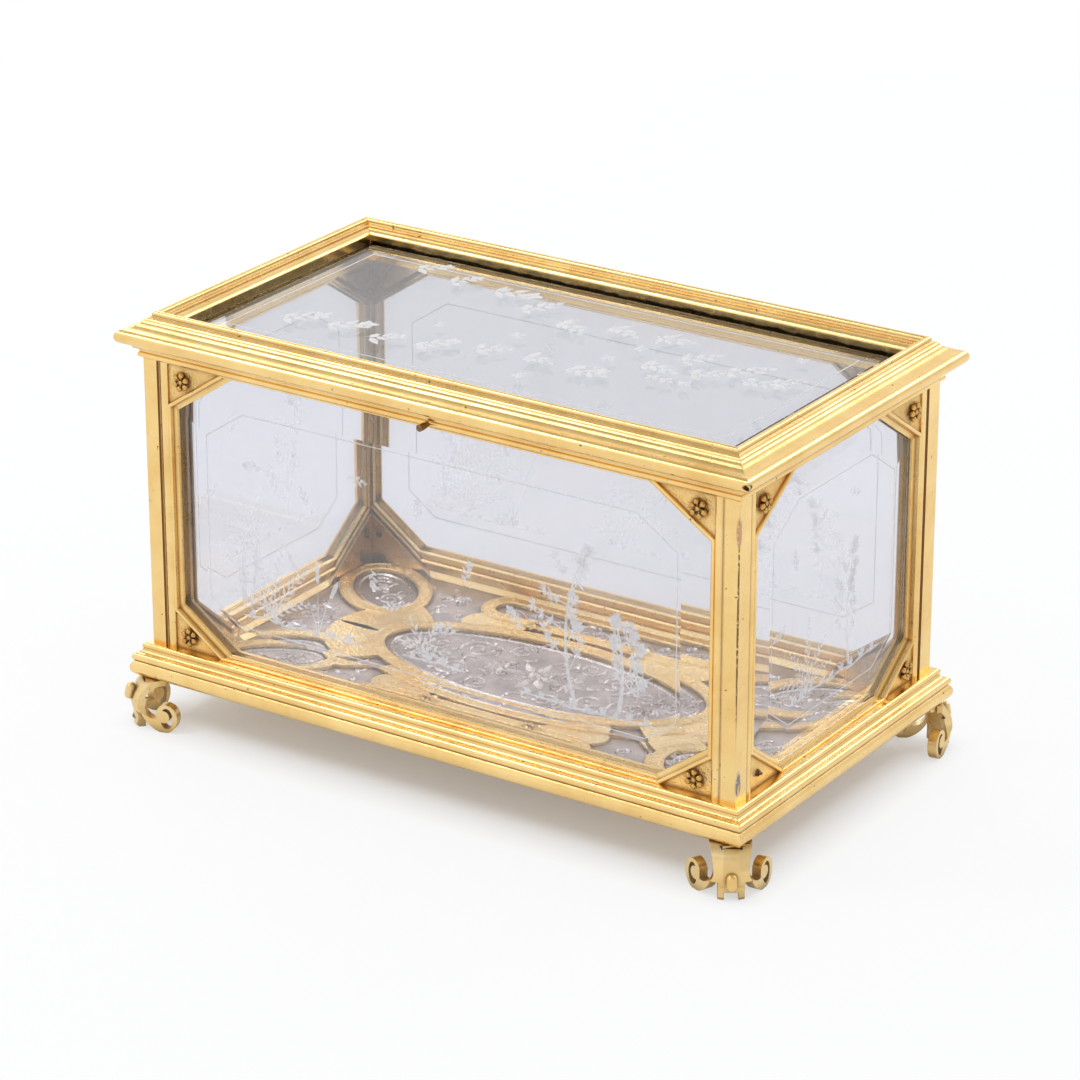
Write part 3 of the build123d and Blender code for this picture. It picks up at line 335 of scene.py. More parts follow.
def occlusion(tree, distance, alone):
    """How open a point is: 1 in the open, less in a recess of its own part alone or of any part."""
    node = tree.nodes.new("ShaderNodeAmbientOcclusion")
    node.samples = 8
    node.only_local = alone
    node.inputs["Distance"].default_value = distance
    return node.outputs["AO"]


def place_along(tree, axis, source="Object"):
    """The place along one axis."""
    coords = tree.nodes.new("ShaderNodeTexCoord")
    parts = tree.nodes.new("ShaderNodeSeparateXYZ")
    wire(tree, coords.outputs[source], parts.inputs[0])
    return parts.outputs[axis]


def beyond(tree, axis, low, high, first=0.0, last=1.0):
    """A ramp over the distance from the casket's middle along an axis."""
    return ramp(tree, math_node(tree, "ABSOLUTE", place_along(tree, axis)), low, high, first, last)


def near_spot(tree, place, reach):
    """A factor that is 1 at a place and falls to 0 past a reach along each axis, broken up by noise."""
    coords = tree.nodes.new("ShaderNodeTexCoord")
    moved = vector_node(tree, "SUBTRACT", coords.outputs["Object"], place)
    scaled = vector_node(tree, "DIVIDE", moved.outputs["Vector"], reach)
    away = vector_node(tree, "LENGTH", scaled.outputs["Vector"])
    close = ramp(tree, away.outputs["Value"], 1.0, 0.7)
    return times(tree, close, ramp(tree, noise(tree, 900.0, 3.0), 0.36, 0.5))


# Materials

def gilt_material(
    name, bright, deep, recess, tarnish_and_shade, rough, stipple=0.0, spots=(), reach=0.0016, alone=True, mask=None
):
    """Aged fire gilding: warm gold, deeper patches, small dark specks, and brown in the recesses that is
    partly tarnish and partly painted shade.
    """
    material, tree, surface = new_material(name)
    shader = new_metal(tree)
    patches = ramp(tree, noise(tree, 55.0), 0.35, 0.7)
    colour = blend_colour(tree, patches, bright, deep)
    streaks = ramp(tree, noise(tree, 420.0, 3.0), 0.5, 0.75, 0.0, 0.2)
    colour = blend_colour(tree, streaks, colour, GOLD_PALE)
    if mask:
        shade, shade_colour = mask(tree)
        colour = blend_colour(tree, shade, colour, shade_colour)
    # Painted shade, partly tarnish: the recess colour where the point is hemmed in, and a little duller there
    # too.
    recess_shade_and_tarnish = ramp(tree, occlusion(tree, reach, alone), 0.92, 0.50, 0.0, tarnish_and_shade)
    colour = blend_colour(tree, recess_shade_and_tarnish, colour, recess)
    specks = ramp(tree, noise(tree, 620.0, 2.0), 0.71, 0.77)
    colour = blend_colour(tree, specks, colour, BROWN_BLACK)
    for place, size, spot_colour in spots:
        colour = blend_colour(tree, near_spot(tree, place, size), colour, spot_colour)
    wire(tree, colour, shader.inputs["Base Color"])
    dull = times(tree, recess_shade_and_tarnish, 0.4)
    roughness = math_node(tree, "ADD", ramp(tree, noise(tree, 260.0), 0.3, 0.8, *rough), dull)
    wire(tree, roughness, shader.inputs["Roughness"])
    edge = tree.nodes.new("ShaderNodeBevel")
    edge.samples = 4
    edge.inputs["Radius"].default_value = EDGE_RADIUS
    normal = bump(tree, noise(tree, 900.0), 0.2, 0.0002, edge.outputs["Normal"])
    if stipple:
        normal = bump(tree, noise(tree, 1500.0, 2.0), stipple, 0.0005, normal)
    wire(tree, normal, shader.inputs["Normal"])
    wire(tree, shader.outputs["BSDF"], surface)
    return material


def inner_corner_reflection(tree):
    """Painted reflection: browner towards the four upright corners inside, more so higher up."""
    across = beyond(tree, "X", *CORNER_X)
    along = beyond(tree, "Y", *CORNER_Y)
    share = beyond(tree, "Z", *CORNER_Z, *CORNER_SHARE)
    return times(tree, times(tree, across, along), share), DARK_BROWN


def lid_well_shade(tree):
    """Painted shade: nearly black where the lid's rails drop to the crystal, with an uneven upper edge."""
    across = beyond(tree, "X", *WELL_X)
    along = beyond(tree, "Y", *WELL_Y)
    uneven = times(tree, noise(tree, 240.0, 3.0), WELL_UNEVEN)
    low = ramp(tree, math_node(tree, "ADD", place_along(tree, "Z"), uneven), *WELL_Z)
    return times(tree, times(tree, across, along), low), WELL_SHADE_BROWN


def thin_white(tree, through_share):
    """Matt white that light also comes through from behind."""
    matt = tree.nodes.new("ShaderNodeBsdfPrincipled")
    matt.inputs["Base Color"].default_value = FROST
    matt.inputs["Roughness"].default_value = 0.9
    through = tree.nodes.new("ShaderNodeBsdfTranslucent")
    through.inputs["Color"].default_value = FROST
    return mix_shaders(tree, through_share, matt.outputs["BSDF"], through.outputs["BSDF"])


def crystal_material(name, tint, veil):
    """Clear rock crystal with a faint white veil; lamps shine through it."""
    material, tree, surface = new_material(name)
    shader = tree.nodes.new("ShaderNodeBsdfPrincipled")
    shader.inputs["Base Color"].default_value = tint
    shader.inputs["IOR"].default_value = CRYSTAL_IOR
    shader.inputs["Transmission Weight"].default_value = 1.0
    wire(tree, ramp(tree, noise(tree, 45.0, 3.0), 0.5, 0.8, 0.015, 0.045), shader.inputs["Roughness"])
    cloudy = ramp(tree, noise(tree, 30.0, 3.0), 0.3, 0.75, 0.0, veil)
    veiled = mix_shaders(tree, cloudy, shader.outputs["BSDF"], thin_white(tree, 0.5))
    clear = tree.nodes.new("ShaderNodeBsdfTransparent")
    clear.inputs["Color"].default_value = SHADOW_TINT
    path = tree.nodes.new("ShaderNodeLightPath")
    wire(tree, mix_shaders(tree, path.outputs["Is Shadow Ray"], veiled, clear.outputs["BSDF"]), surface)
    return material


def silver_material(name, pale, dark, recess, roughness, reach):
    """Tarnished silver: dull patches, dark in the recesses as tarnish and painted shade, bright where it is
    rubbed.
    """
    material, tree, surface = new_material(name)
    shader = new_metal(tree)
    patches = ramp(tree, noise(tree, 110.0), 0.3, 0.75)
    colour = blend_colour(tree, patches, pale, dark)
    # Painted shade and tarnish: darker where any part hems the point in.
    tarnish_and_recess_shade = ramp(tree, occlusion(tree, reach, False), 0.92, 0.45)
    colour = blend_colour(tree, tarnish_and_recess_shade, colour, recess)
    wire(tree, colour, shader.inputs["Base Color"])
    rough = ramp(tree, noise(tree, 700.0, 3.0), 0.35, 0.7, roughness, roughness + 0.2)
    wire(tree, rough, shader.inputs["Roughness"])
    wire(tree, bump(tree, noise(tree, 1100.0, 3.0), 0.5, 0.0004), shader.inputs["Normal"])
    wire(tree, shader.outputs["BSDF"], surface)
    return material


def frost_material(name, cover, through_share):
    """Ground crystal: white and matt, with the clear crystal showing through."""
    material, tree, surface = new_material(name)
    clear = tree.nodes.new("ShaderNodeBsdfTransparent")
    share = ramp(tree, noise(tree, 500.0, 3.0), 0.25, 0.75, cover - 0.15, cover + 0.15)
    wire(tree, mix_shaders(tree, share, clear.outputs["BSDF"], thin_white(tree, through_share)), surface)
    return material


# Ornament: closed shapes raised from a plane, in millimetres

def polar(centre, reach, angle):
    """A point at a distance and an angle from a centre."""
    return centre[0] + reach * math.cos(angle), centre[1] + reach * math.sin(angle)


def ring_faces(count, first=0):
    """Faces from one ring of points to the next."""
    faces = []
    for i in range(count):
        j = (i + 1) % count
        faces.append((first + i, first + j, first + count + j, first + count + i))
    return faces


class Relief:
    """Closed shapes gathered on one plane, as (across, up, raised)."""

    def __init__(self):
        self.points = []
        self.faces = []

    def add(self, points, faces):
        first = len(self.points)
        self.points.extend(points)
        self.faces.extend([tuple(first + i for i in face) for face in faces])

    def strip(self, line, half_widths, rise):
        """A ridge along a line of points: a roof of two slopes, closed below."""
        count = len(line)
        widest = max(half_widths)
        points = []
        for i, (x, y) in enumerate(line):
            before = line[max(i - 1, 0)]
            after = line[min(i + 1, count - 1)]
            dx, dy = after[0] - before[0], after[1] - before[1]
            size = math.hypot(dx, dy) or 1.0
            nx, ny = -dy / size, dx / size
            half = half_widths[i]
            points.append((x + nx * half, y + ny * half, 0.0))
            points.append((x, y, rise * (0.25 + 0.75 * half / widest)))
            points.append((x - nx * half, y - ny * half, 0.0))
        faces = [(0, 1, 2), (3 * count - 1, 3 * count - 2, 3 * count - 3)]
        for i in range(count - 1):
            a, b = 3 * i, 3 * i + 3
            faces.append((a, b, b + 1, a + 1))
            faces.append((a + 1, b + 1, b + 2, a + 2))
            faces.append((a + 2, b + 2, b, a))
        self.add(points, faces)

    def leaf(self, at, angle, length, width, rise=0.12, bend=0.0, steps=6):
        """A pointed leaf from its foot, curved to one side by bend."""
        line, halves = [], []
        c, s = math.cos(angle), math.sin(angle)
        for i in range(steps + 1):
            t = i / steps
            along = length * t
            aside = bend * length * t * t
            line.append((at[0] + c * along - s * aside, at[1] + s * along + c * aside))
            halves.append(max(width / 2 * math.sin(math.pi * t**0.75), width * 0.02))
        self.strip(line, halves, rise)

    def stem(self, line, width, rise=0.1, tip=0.4):
        """A ridge that tapers to a share of its width at the tip."""
        count = len(line)
        halves = [width / 2 * (1 - (1 - tip) * i / (count - 1)) for i in range(count)]
        self.strip(line, halves, rise)

    def bead(self, at, radius, rise, sides=8):
        """A low dome."""
        points = []
        for share, height in ((1.0, 0.0), (0.72, 0.7), (0.35, 0.95)):
            for i in range(sides):
                points.append((*polar(at, radius * share, 2 * math.pi * i / sides), rise * height))
        points.append((at[0], at[1], rise))
        faces = [tuple(range(sides - 1, -1, -1))] + ring_faces(sides) + ring_faces(sides, sides)
        for i in range(sides):
            faces.append((2 * sides + i, 2 * sides + (i + 1) % sides, 3 * sides))
        self.add(points, faces)

    def prism(self, lower, upper):
        """A closed shape between two rings of points."""
        count = len(lower)
        faces = [tuple(range(count - 1, -1, -1)), tuple(range(count, 2 * count))]
        self.add(lower + upper, faces + ring_faces(count))

    def pad(self, outline, rise):
        """A flat plate with a counterclockwise outline."""
        self.prism([(x, y, 0.0) for x, y in outline], [(x, y, rise) for x, y in outline])

    def ball(self, centre, radius, squash, rng):
        """One hand-filed bead, a little lobed and flattened."""
        ball = bmesh.new()
        bmesh.ops.create_icosphere(ball, subdivisions=2, radius=radius)
        lobes = rng.uniform(0, 6)
        points = []
        for vert in ball.verts:
            x, y, z = vert.co
            swell = 1 + 0.07 * math.cos(3 * math.atan2(y, x) + lobes) + rng.uniform(-0.02, 0.02)
            points.append((centre[0] + x * swell, centre[1] + y * swell, centre[2] + z * squash * swell))
        self.add(points, [[vert.index for vert in face.verts] for face in ball.faces])
        ball.free()

    def stalk(self, foot, head, foot_radius, head_radius):
        """A closed tapering stalk between two points."""
        axis = Vector(head) - Vector(foot)
        across = axis.orthogonal().normalized()
        aside = axis.cross(across).normalized()
        lower, upper = [], []
        for i in range(8):
            turn = 2 * math.pi * i / 8
            for ring, middle, radius in ((lower, foot, foot_radius), (upper, head, head_radius)):
                spot = Vector(middle) + across * radius * math.cos(turn) + aside * radius * math.sin(turn)
                ring.append(tuple(spot))
        self.prism(lower, upper)

    def piece(self, name, matrix, material, body, slot, smooth=False):
        """The gathered shapes as one piece that rides a body of the frame."""
        mesh = bpy.data.meshes.new(name)
        points = [tuple(matrix @ (Vector(point) * MM)) for point in self.points]
        mesh.from_pydata(points, [], self.faces)
        mesh.materials.append(material)
        if smooth:
            mesh.shade_smooth()
        mesh.update()
        obj = bpy.data.objects.new(name, mesh)
        bpy.context.scene.collection.objects.link(obj)
        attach(obj, body)
        return obj


def wall_matrix(side, out):
    """From (along, up, out) on a side's plane to the casket's frame."""
    distance, turn, _ = SIDES[side]
    upright = Matrix(((1, 0, 0, 0), (0, 0, -1, -(distance + out) * MM), (0, 1, 0, 0), (0, 0, 0, 1)))
    return Matrix.Rotation(math.radians(turn), 4, "Z") @ upright


def level_matrix(height):
    return Matrix.Translation((0, 0, height * MM))


# Plants

def curve_points(start, angle, length, curl, steps):
    """A line that starts at an angle and turns by curl over its length."""
    points = [start]
    for i in range(steps):
        points.append(polar(points[-1], length / steps, angle + curl * (i + 0.5) / steps))
    return points


def frond(relief, start, angle, length, curl, pairs, leaf_length, leaf_width, spread=0.9, stem=0.35):
    """A stem with leaves to either side by turns, the longest near its middle."""
    line = curve_points(start, angle, length, curl, pairs * 2)
    relief.stem(line, stem)
    for i in range(1, pairs * 2):
        t = i / (pairs * 2)
        heading = angle + curl * t
        size = math.sin(math.pi * (0.18 + 0.75 * t)) * leaf_length
        hand = 1 if i % 2 else -1
        relief.leaf(line[i], heading + hand * spread, size, leaf_width, bend=-hand * 0.18)
    relief.leaf(line[-1], angle + curl, leaf_length * 0.6, leaf_width)
    return line


def blossom(relief, at, radius, petals, turn):
    """A small open flower."""
    for i in range(petals):
        angle = turn + 2 * math.pi * i / petals
        relief.leaf(polar(at, radius * 0.15, angle), angle, radius * 0.88, radius * 0.75, rise=0.16, steps=5)
    relief.bead(at, radius * 0.22, 0.22)


def wheat_ear(relief, start, angle, length, curl, grains, size):
    """A stalk with an ear of paired grains and fine awns."""
    line = curve_points(start, angle, length, curl, 14)
    relief.stem(line, 0.3)
    heading = angle + curl
    for i in range(grains):
        at = polar(line[-1], size * 0.55 * i, heading)
        for hand in (-1, 1):
            relief.leaf(at, heading + hand * 0.42, size, size * 0.42, bend=-hand * 0.15)
            awn = curve_points(at, heading + hand * 0.3, size * 2.1, -hand * 0.1, 4)
            relief.stem(awn, 0.12, 0.05, 0.3)
    relief.leaf(polar(line[-1], size * 0.55 * grains, heading), heading, size * 1.1, size * 0.42)


def reeds(relief, start, count, height, spread, rng):
    """Long narrow blades from one root."""
    for i in range(count):
        angle = math.pi / 2 + spread * (i / (count - 1) - 0.5) + rng.uniform(-0.05, 0.05)
        size = height * rng.uniform(0.6, 1.0)
        bend = (angle - math.pi / 2) * -0.35
        relief.leaf((start[0] + rng.uniform(-1, 1), start[1]), angle, size, 1.0, bend=bend, steps=8)


def sprig(relief, at, angle, size, rng, flower):
    """A short twig with a few leaves and perhaps a flower at its tip."""
    line = frond(relief, at, angle, size, rng.uniform(-0.5, 0.5), 3, size * 0.42, size * 0.2)
    if flower:
        blossom(relief, line[-1], size * 0.26, 4, rng.uniform(0, 1.5))


def leaf_fan(relief, at, heading, leaves, size, spread, rng):
    """A small fan of leaves, as foliage is cut with a few strokes of the wheel."""
    for i in range(leaves):
        turn = heading + spread * (i / (leaves - 1) - 0.5) + rng.uniform(-0.12, 0.12)
        length = size * rng.uniform(0.7, 1.1)
        relief.leaf(at, turn, length, size * 0.30, CUT_RISE, bend=rng.uniform(-0.2, 0.2), steps=4)


def arching_fern(relief, root, fronds, height, lean, rng):
    """Slender fronds that arch out of one root."""
    for i in range(fronds):
        share = i / (fronds - 1) - 0.5
        angle = math.pi / 2 + lean - share * 1.5
        length = height * (1.0 - 0.7 * abs(share)) * rng.uniform(0.9, 1.05)
        pairs = max(int(length / 2.6), 3)
        leaf_length = rng.uniform(2.6, 3.4)
        frond(relief, root, angle, length, -share * 1.6, pairs, leaf_length, 0.95, spread=0.85, stem=0.45)


def flowering_shrub(relief, root, height, lean, rng):
    """A bent stem with side shoots, each with foliage at its end, and a few flowers."""
    line = curve_points(root, math.pi / 2 + lean, height, -lean * 2.2, 22)
    relief.stem(line, 1.4, CUT_RISE, 0.3)
    for i in range(5, 22, 2):
        hand = 1 if (i // 2) % 2 else -1
        heading = math.pi / 2 + lean + hand * rng.uniform(0.7, 1.15)
        length = height * rng.uniform(0.22, 0.42) * (1.15 - i / 30)
        shoot = curve_points(line[i], heading, length, -hand * rng.uniform(0.3, 0.9), 7)
        relief.stem(shoot, 0.55, CUT_RISE, 0.5)
        for k in (3, 5, 7):
            leaf_fan(relief, shoot[k], heading + rng.uniform(-0.5, 0.5), 5, rng.uniform(2.2, 3.1), 2.7, rng)
        if i % 4 == 1:
            blossom(relief, shoot[-1], rng.uniform(1.8, 2.5), 5, rng.uniform(0, 1.2))
    leaf_fan(relief, line[-1], math.pi / 2, 7, 3.8, 3.0, rng)


def ground(relief, start, end, height, rng):
    """A broken ground line with tufts of grass."""
    x = start
    while x < end:
        size = rng.uniform(5.0, 9.0)
        y = height + rng.uniform(-0.5, 0.5)
        relief.leaf((x, y), rng.uniform(-0.05, 0.05), size, rng.uniform(0.6, 1.3), CUT_RISE)
        leaf_fan(relief, (x + size / 2, y), math.pi / 2, 5, rng.uniform(1.8, 3.4), 1.3, rng)
        x += size * 0.72


# Engraved crystals

def inset_polygon(corners, widths):
    """A counterclockwise polygon with each side moved inwards by its width."""
    count = len(corners)
    lines = []
    for i in range(count):
        (x0, y0), (x1, y1) = corners[i], corners[(i + 1) % count]
        size = math.hypot(x1 - x0, y1 - y0)
        nx, ny = -(y1 - y0) / size, (x1 - x0) / size
        lines.append((nx, ny, nx * x0 + ny * y0 + widths[i]))
    result = []
    for i in range(count):
        (a, b, c), (d, e, f) = lines[i - 1], lines[i]
        det = a * e - b * d
        result.append(((c * e - b * f) / det, (a * f - c * d) / det))
    return result


def window_octagon(half, margin):
    """The outline of a window, moved inwards from the bars by a margin."""
    corners = [
        (-half + CUT_RUN_FOOT, BASE_TOP),
        (half - CUT_RUN_FOOT, BASE_TOP),
        (half, BASE_TOP + CUT_RISE_FOOT),
        (half, WINDOW_TOP - CUT_RISE_TOP),
        (half - CUT_RUN_TOP, WINDOW_TOP),
        (-half + CUT_RUN_TOP, WINDOW_TOP),
        (-half, WINDOW_TOP - CUT_RISE_TOP),
        (-half, BASE_TOP + CUT_RISE_FOOT),
    ]
    bars = [BAR_FOOT, BAR_CUT, BAR_SIDE, BAR_CUT, BAR_TOP, BAR_CUT, BAR_SIDE, BAR_CUT]
    return inset_polygon(corners, [bar + margin for bar in bars])


def border(corners, width):
    """A thin engraved line round a polygon."""
    relief = Relief()
    for i, start in enumerate(corners):
        end = corners[(i + 1) % len(corners)]
        line = [tuple(start[k] + (end[k] - start[k]) * t / 8 for k in (0, 1)) for t in range(9)]
        relief.stem(line, width, 0.05, 1.0)
    return relief


def engrave_long(relief, rng, hand):
    """A long wall: ferns and reeds at one end, a tall shrub at the other, sprigs drifting above."""
    arching_fern(relief, (hand * -57, 42), fronds=6, height=27, lean=0.08 * hand, rng=rng)
    reeds(relief, (hand * -66, 43), count=5, height=26, spread=0.5, rng=rng)
    for i, lean in enumerate((-0.25, 0.0, 0.28)):
        wheat_ear(relief, (hand * -41, 41), math.pi / 2 + lean, 13 + 3 * i, lean * 0.8, grains=5, size=1.8)
    ground(relief, start=-68, end=-30, height=41, rng=rng)
    arching_fern(relief, (hand * -4, 43), fronds=4, height=13, lean=0.0, rng=rng)
    ground(relief, start=-12, end=6, height=42.5, rng=rng)
    flowering_shrub(relief, (hand * 47, 41), height=44, lean=0.34 * hand, rng=rng)
    flowering_shrub(relief, (hand * 61, 42), height=27, lean=-0.22 * hand, rng=rng)
    ground(relief, start=28, end=68, height=40.5, rng=rng)
    for x, y in LONG_DRIFT:
        angle, size = rng.uniform(0, 2 * math.pi), rng.uniform(5.0, 7.0)
        sprig(relief, (hand * x, y), angle, size, rng, rng.random() < 0.5)


def engrave_short(relief, rng, hand):
    """A short wall: one shrub with ferns beside it, and a few sprigs above."""
    flowering_shrub(relief, (hand * 10, 43), height=34, lean=0.25 * hand, rng=rng)
    arching_fern(relief, (hand * -14, 43), fronds=5, height=22, lean=-0.05, rng=rng)
    ground(relief, start=-24, end=24, height=42.5, rng=rng)
    for x, y in SHORT_DRIFT:
        sprig(relief, (hand * x, y), rng.uniform(0, 2 * math.pi), rng.uniform(4.0, 6.0), rng, False)


def engrave_lid(relief, rng):
    """The lid: loose sprigs and small flowers that drift across it."""
    for i in range(LID_SPRIGS):
        x = LID_LEFT + (LID_RIGHT - LID_LEFT) * ((i * 7) % LID_SPRIGS) / (LID_SPRIGS - 1)
        y = LID_ROWS[i % len(LID_ROWS)] + rng.uniform(-3, 3)
        heading = rng.uniform(-0.6, 0.8)
        sprig(relief, (x, y), heading, rng.uniform(9.0, 13.0), rng, i % 3 == 0)
        for hand in (-1, 1):
            relief.leaf((x + 1.5, y), heading + hand * 1.1, rng.uniform(4.0, 6.5), 2.4)
    for _ in range(LID_FLOWERS):
        at = (rng.uniform(LID_LEFT, LID_RIGHT), rng.uniform(-27, 30))
        blossom(relief, at, rng.uniform(1.8, 2.8), 4, rng.uniform(0, 1.5))


def engraving():
    """White matt engraving on the outer faces of the crystals."""
    # One frost in lit and shaded copies, as painted light and shade: whiter on the near walls, fainter and
    # more see-through on the far walls that are seen from inside.
    near_frost = frost_material("engraved_near_frost", cover=0.44, through_share=0.45)
    far_frost = frost_material("engraved_far_frost", cover=0.17, through_share=0.9)
    line_frost = frost_material("engraved_line", cover=0.60, through_share=0.4)
    lid_frost = frost_material("engraved_lid_frost", cover=0.82, through_share=0.2)
    for number, (side, (_, _, half)) in enumerate(SIDES.items()):
        near = side in NEAR_SIDES
        engrave = engrave_long if half > HALF_DEPTH else engrave_short
        relief = Relief()
        engrave(relief, random.Random(11 + number), 1 if near else -1)
        matrix = wall_matrix(side, TABLE_OUT - SUNK)
        frost = near_frost if near else far_frost
        relief.piece(f"engraving_{side}", matrix, frost, "casket", "rock_crystal")
        lines = border(window_octagon(half, BEVEL_WIDTH + BORDER_GAP), BORDER_WIDTH)
        lines.piece(f"engraved_border_{side}", matrix, line_frost, "casket", "rock_crystal")
    relief = Relief()
    engrave_lid(relief, random.Random(5))
    matrix = level_matrix(LID_TABLE_TOP - SUNK)
    relief.piece("engraving_lid", matrix, lid_frost, "lid", "rock_crystal")
    x, y = LID_BORDER
    lines = border([(-x, -y), (x, -y), (x, y), (-x, y)], LID_BORDER_WIDTH)
    lines.piece("engraved_border_lid", matrix, lid_frost, "lid", "rock_crystal")


# Rosettes: a ring of beads on short stalks round a middle one

def rosette_places(side):
    """The middles of a side's rosettes, lowest left first; the right side has lost that one."""
    half = SIDES[side][2]
    along = half - (ROSETTE_INSET_LONG if half > HALF_DEPTH else ROSETTE_INSET_SHORT)
    low, high = BASE_TOP + ROSETTE_ABOVE_BASE, WINDOW_TOP - ROSETTE_BELOW_RAIL
    places = [(-along, low), (along, low), (along, high), (-along, high)]
    return places[1:] if side == "right" else places


def rosette(relief, along, up, rng):
    root = (along, up, PLATE_OUT)
    turn = rng.uniform(0, 2 * math.pi)
    for i in range(ROSETTE_BEADS):
        angle = turn + 2 * math.pi * i / ROSETTE_BEADS + rng.uniform(-0.12, 0.12)
        ring = ROSETTE_RING + rng.uniform(-0.1, 0.1)
        spot = (*polar((along, up), ring, angle), -0.12 + rng.uniform(-0.1, 0.15))
        relief.stalk(root, spot, foot_radius=0.75, head_radius=0.45)
        relief.ball(spot, radius=0.92, squash=0.85, rng=rng)
    relief.stalk(root, (along, up, -0.2), foot_radius=1.25, head_radius=0.6)
    relief.ball((along, up, -0.15), radius=0.85, squash=0.8, rng=rng)


def rosettes(material):
    for side in SIDES:
        rng = random.Random(side)
        relief = Relief()
        for along, up in rosette_places(side):
            rosette(relief, along, up, rng)
        name = f"rosette_beads_{side}"
        piece = relief.piece(name, wall_matrix(side, 0.0), material, "casket", "gilt_dark", smooth=True)
        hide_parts(f"rosettes_{side}")


def lost_rosette_stub(material):
    """The bent pin that is left where a rosette is missing on the right side."""
    relief = Relief()
    along, up = -SIDES["right"][2] + ROSETTE_INSET_SHORT, BASE_TOP + ROSETTE_ABOVE_BASE
    relief.stalk((along, up, PLATE_OUT - 0.12), (along, up, -0.5), foot_radius=1.15, head_radius=0.95)
    relief.stalk((along, up, -0.6), (along + 0.5, up - 0.1, 0.35), foot_radius=0.8, head_radius=0.35)
    relief.piece("lost_rosette_stub", wall_matrix("right", 0.0), material, "casket", "gilt_dark")


def quarter_outline(outline, along, across):
    """An outline of the quarter towards +X and +Y, mirrored into another and kept counterclockwise."""
    mirrored = [(along * x, across * y) for x, y in outline]
    return mirrored if along * across > 0 else mirrored[::-1]


def foot_necks(material):
    """Filling under the base, behind the top of each foot's facet, dark brown as painted shade."""
    near, far = NECK_OUT
    outline = []
    for out, aside in ((near, -NECK_HALF), (far, -NECK_HALF), (far, NECK_HALF), (near, NECK_HALF)):
        x = HALF_LENGTH + (out - aside) / math.sqrt(2)
        y = HALF_DEPTH + (out + aside) / math.sqrt(2)
        outline.append((x, y))
    relief = Relief()
    for along, across in QUARTERS:
        relief.pad(quarter_outline(outline, along, across), NECK_HEIGHT)
    matrix = level_matrix(FOOT_HEIGHT - NECK_HEIGHT - NECK_GAP)
    relief.piece("foot_necks", matrix, material, "casket", "gilt_dark")


# Floor: chased silver fields between stippled gilt straps

def inside_plaque(point, margin=0.3):
    return abs(point[0]) < PLAQUE_HALF_X - margin and abs(point[1]) < PLAQUE_HALF_Y - margin


def ellipse_line(centre, size, inset, turn, count=72):
    """The closed outline of an ellipse of a size, moved inwards by an inset."""
    c, s = math.cos(turn), math.sin(turn)
    line = []
    for i in range(count + 1):
        angle = 2 * math.pi * i / count
        x, y = (size[0] / 2 - inset) * math.cos(angle), (size[1] / 2 - inset) * math.sin(angle)
        line.append((centre[0] + c * x - s * y, centre[1] + s * x + c * y))
    return line


def slot_line(centre, size, inset, count=20):
    """The closed outline of a slot with round ends, moved inwards by an inset."""
    radius = size[1] / 2 - inset
    straight = size[0] / 2 - inset - radius
    line = []
    for end in (1, -1):
        for i in range(count + 1):
            angle = -end * math.pi / 2 + math.pi * i / count
            line.append(polar((centre[0] + end * straight, centre[1]), radius, angle))
    return line + line[:1]


def corner_oval(along, across):
    """The middle and the turn of one corner's oval."""
    x, y = PLAQUE_HALF_X - CORNER_OVAL_INSET, PLAQUE_HALF_Y - CORNER_OVAL_INSET
    return (along * x, across * y), math.radians(CORNER_OVAL_TURN) * along * across


def strap_lines(inset, main_count, slot_count, corner_count):
    """Lines round every oval and slot, moved inwards from the straps' outer edges."""
    lines = [ellipse_line((0, 0), MAIN_OVAL, inset, 0, main_count)]
    for across in (-1, 1):
        lines.append(slot_line((0, across * LONG_SLOT_OUT), LONG_SLOT, inset, slot_count))
        for along in (-1, 1):
            middle, turn = corner_oval(along, across)
            lines.append(ellipse_line(middle, CORNER_OVAL, inset, turn, corner_count))
    return lines


def scroll(relief, centre, radius, turns, start, hand, width, rise):
    """A spiral scroll with a bead at its eye and leaves on its back."""
    steps = int(16 * turns)
    line = []
    for i in range(steps + 1):
        t = i / steps
        line.append(polar(centre, radius * (1 - 0.82 * t), start + hand * 2 * math.pi * turns * t))
    relief.stem(line, width, rise, 0.5)
    relief.bead(line[-1], width * 0.8, rise * 1.3)
    for i in range(2, steps // 2, 3):
        x, y = line[i]
        outwards = math.atan2(y - centre[1], x - centre[0])
        relief.leaf((x, y), outwards - hand * 0.7, radius * 0.42, radius * 0.2, rise, bend=hand * 0.3)


def rinceau(relief, start, end, count, radius):
    """A running scroll along a line, turning to either side in turn."""
    rise = 0.5
    dx, dy = end[0] - start[0], end[1] - start[1]
    heading = math.atan2(dy, dx)

    def beside(t, aside):
        """A point at a share of the line, moved aside."""
        return start[0] + dx * t - math.sin(heading) * aside, start[1] + dy * t + math.cos(heading) * aside

    wave = []
    for i in range(count * 8 + 1):
        t = i / (count * 8)
        wave.append(beside(t, radius * 0.55 * math.sin(math.pi * count * t)))
    relief.stem(wave, 0.8, rise, 0.6)
    for i in range(count):
        hand = 1 if i % 2 else -1
        middle = beside((i + 0.5) / count, hand * radius * 0.15)
        scroll(relief, middle, radius * 0.75, 1.3, heading + hand * 1.4, hand, 0.8, rise)


def palmette(relief, at, size, turn):
    """A fan of leaves over two small volutes."""
    rise = 0.55
    for i in range(-3, 4):
        relief.leaf(at, turn + i * 0.38, size * (1 - 0.07 * abs(i)), size * 0.24, rise, bend=0.1 * i)
    for hand in (-1, 1):
        volute = polar(at, size * 0.4, turn + hand * 1.9)
        scroll(relief, volute, size * 0.3, 1.2, turn, hand, size * 0.09, rise)


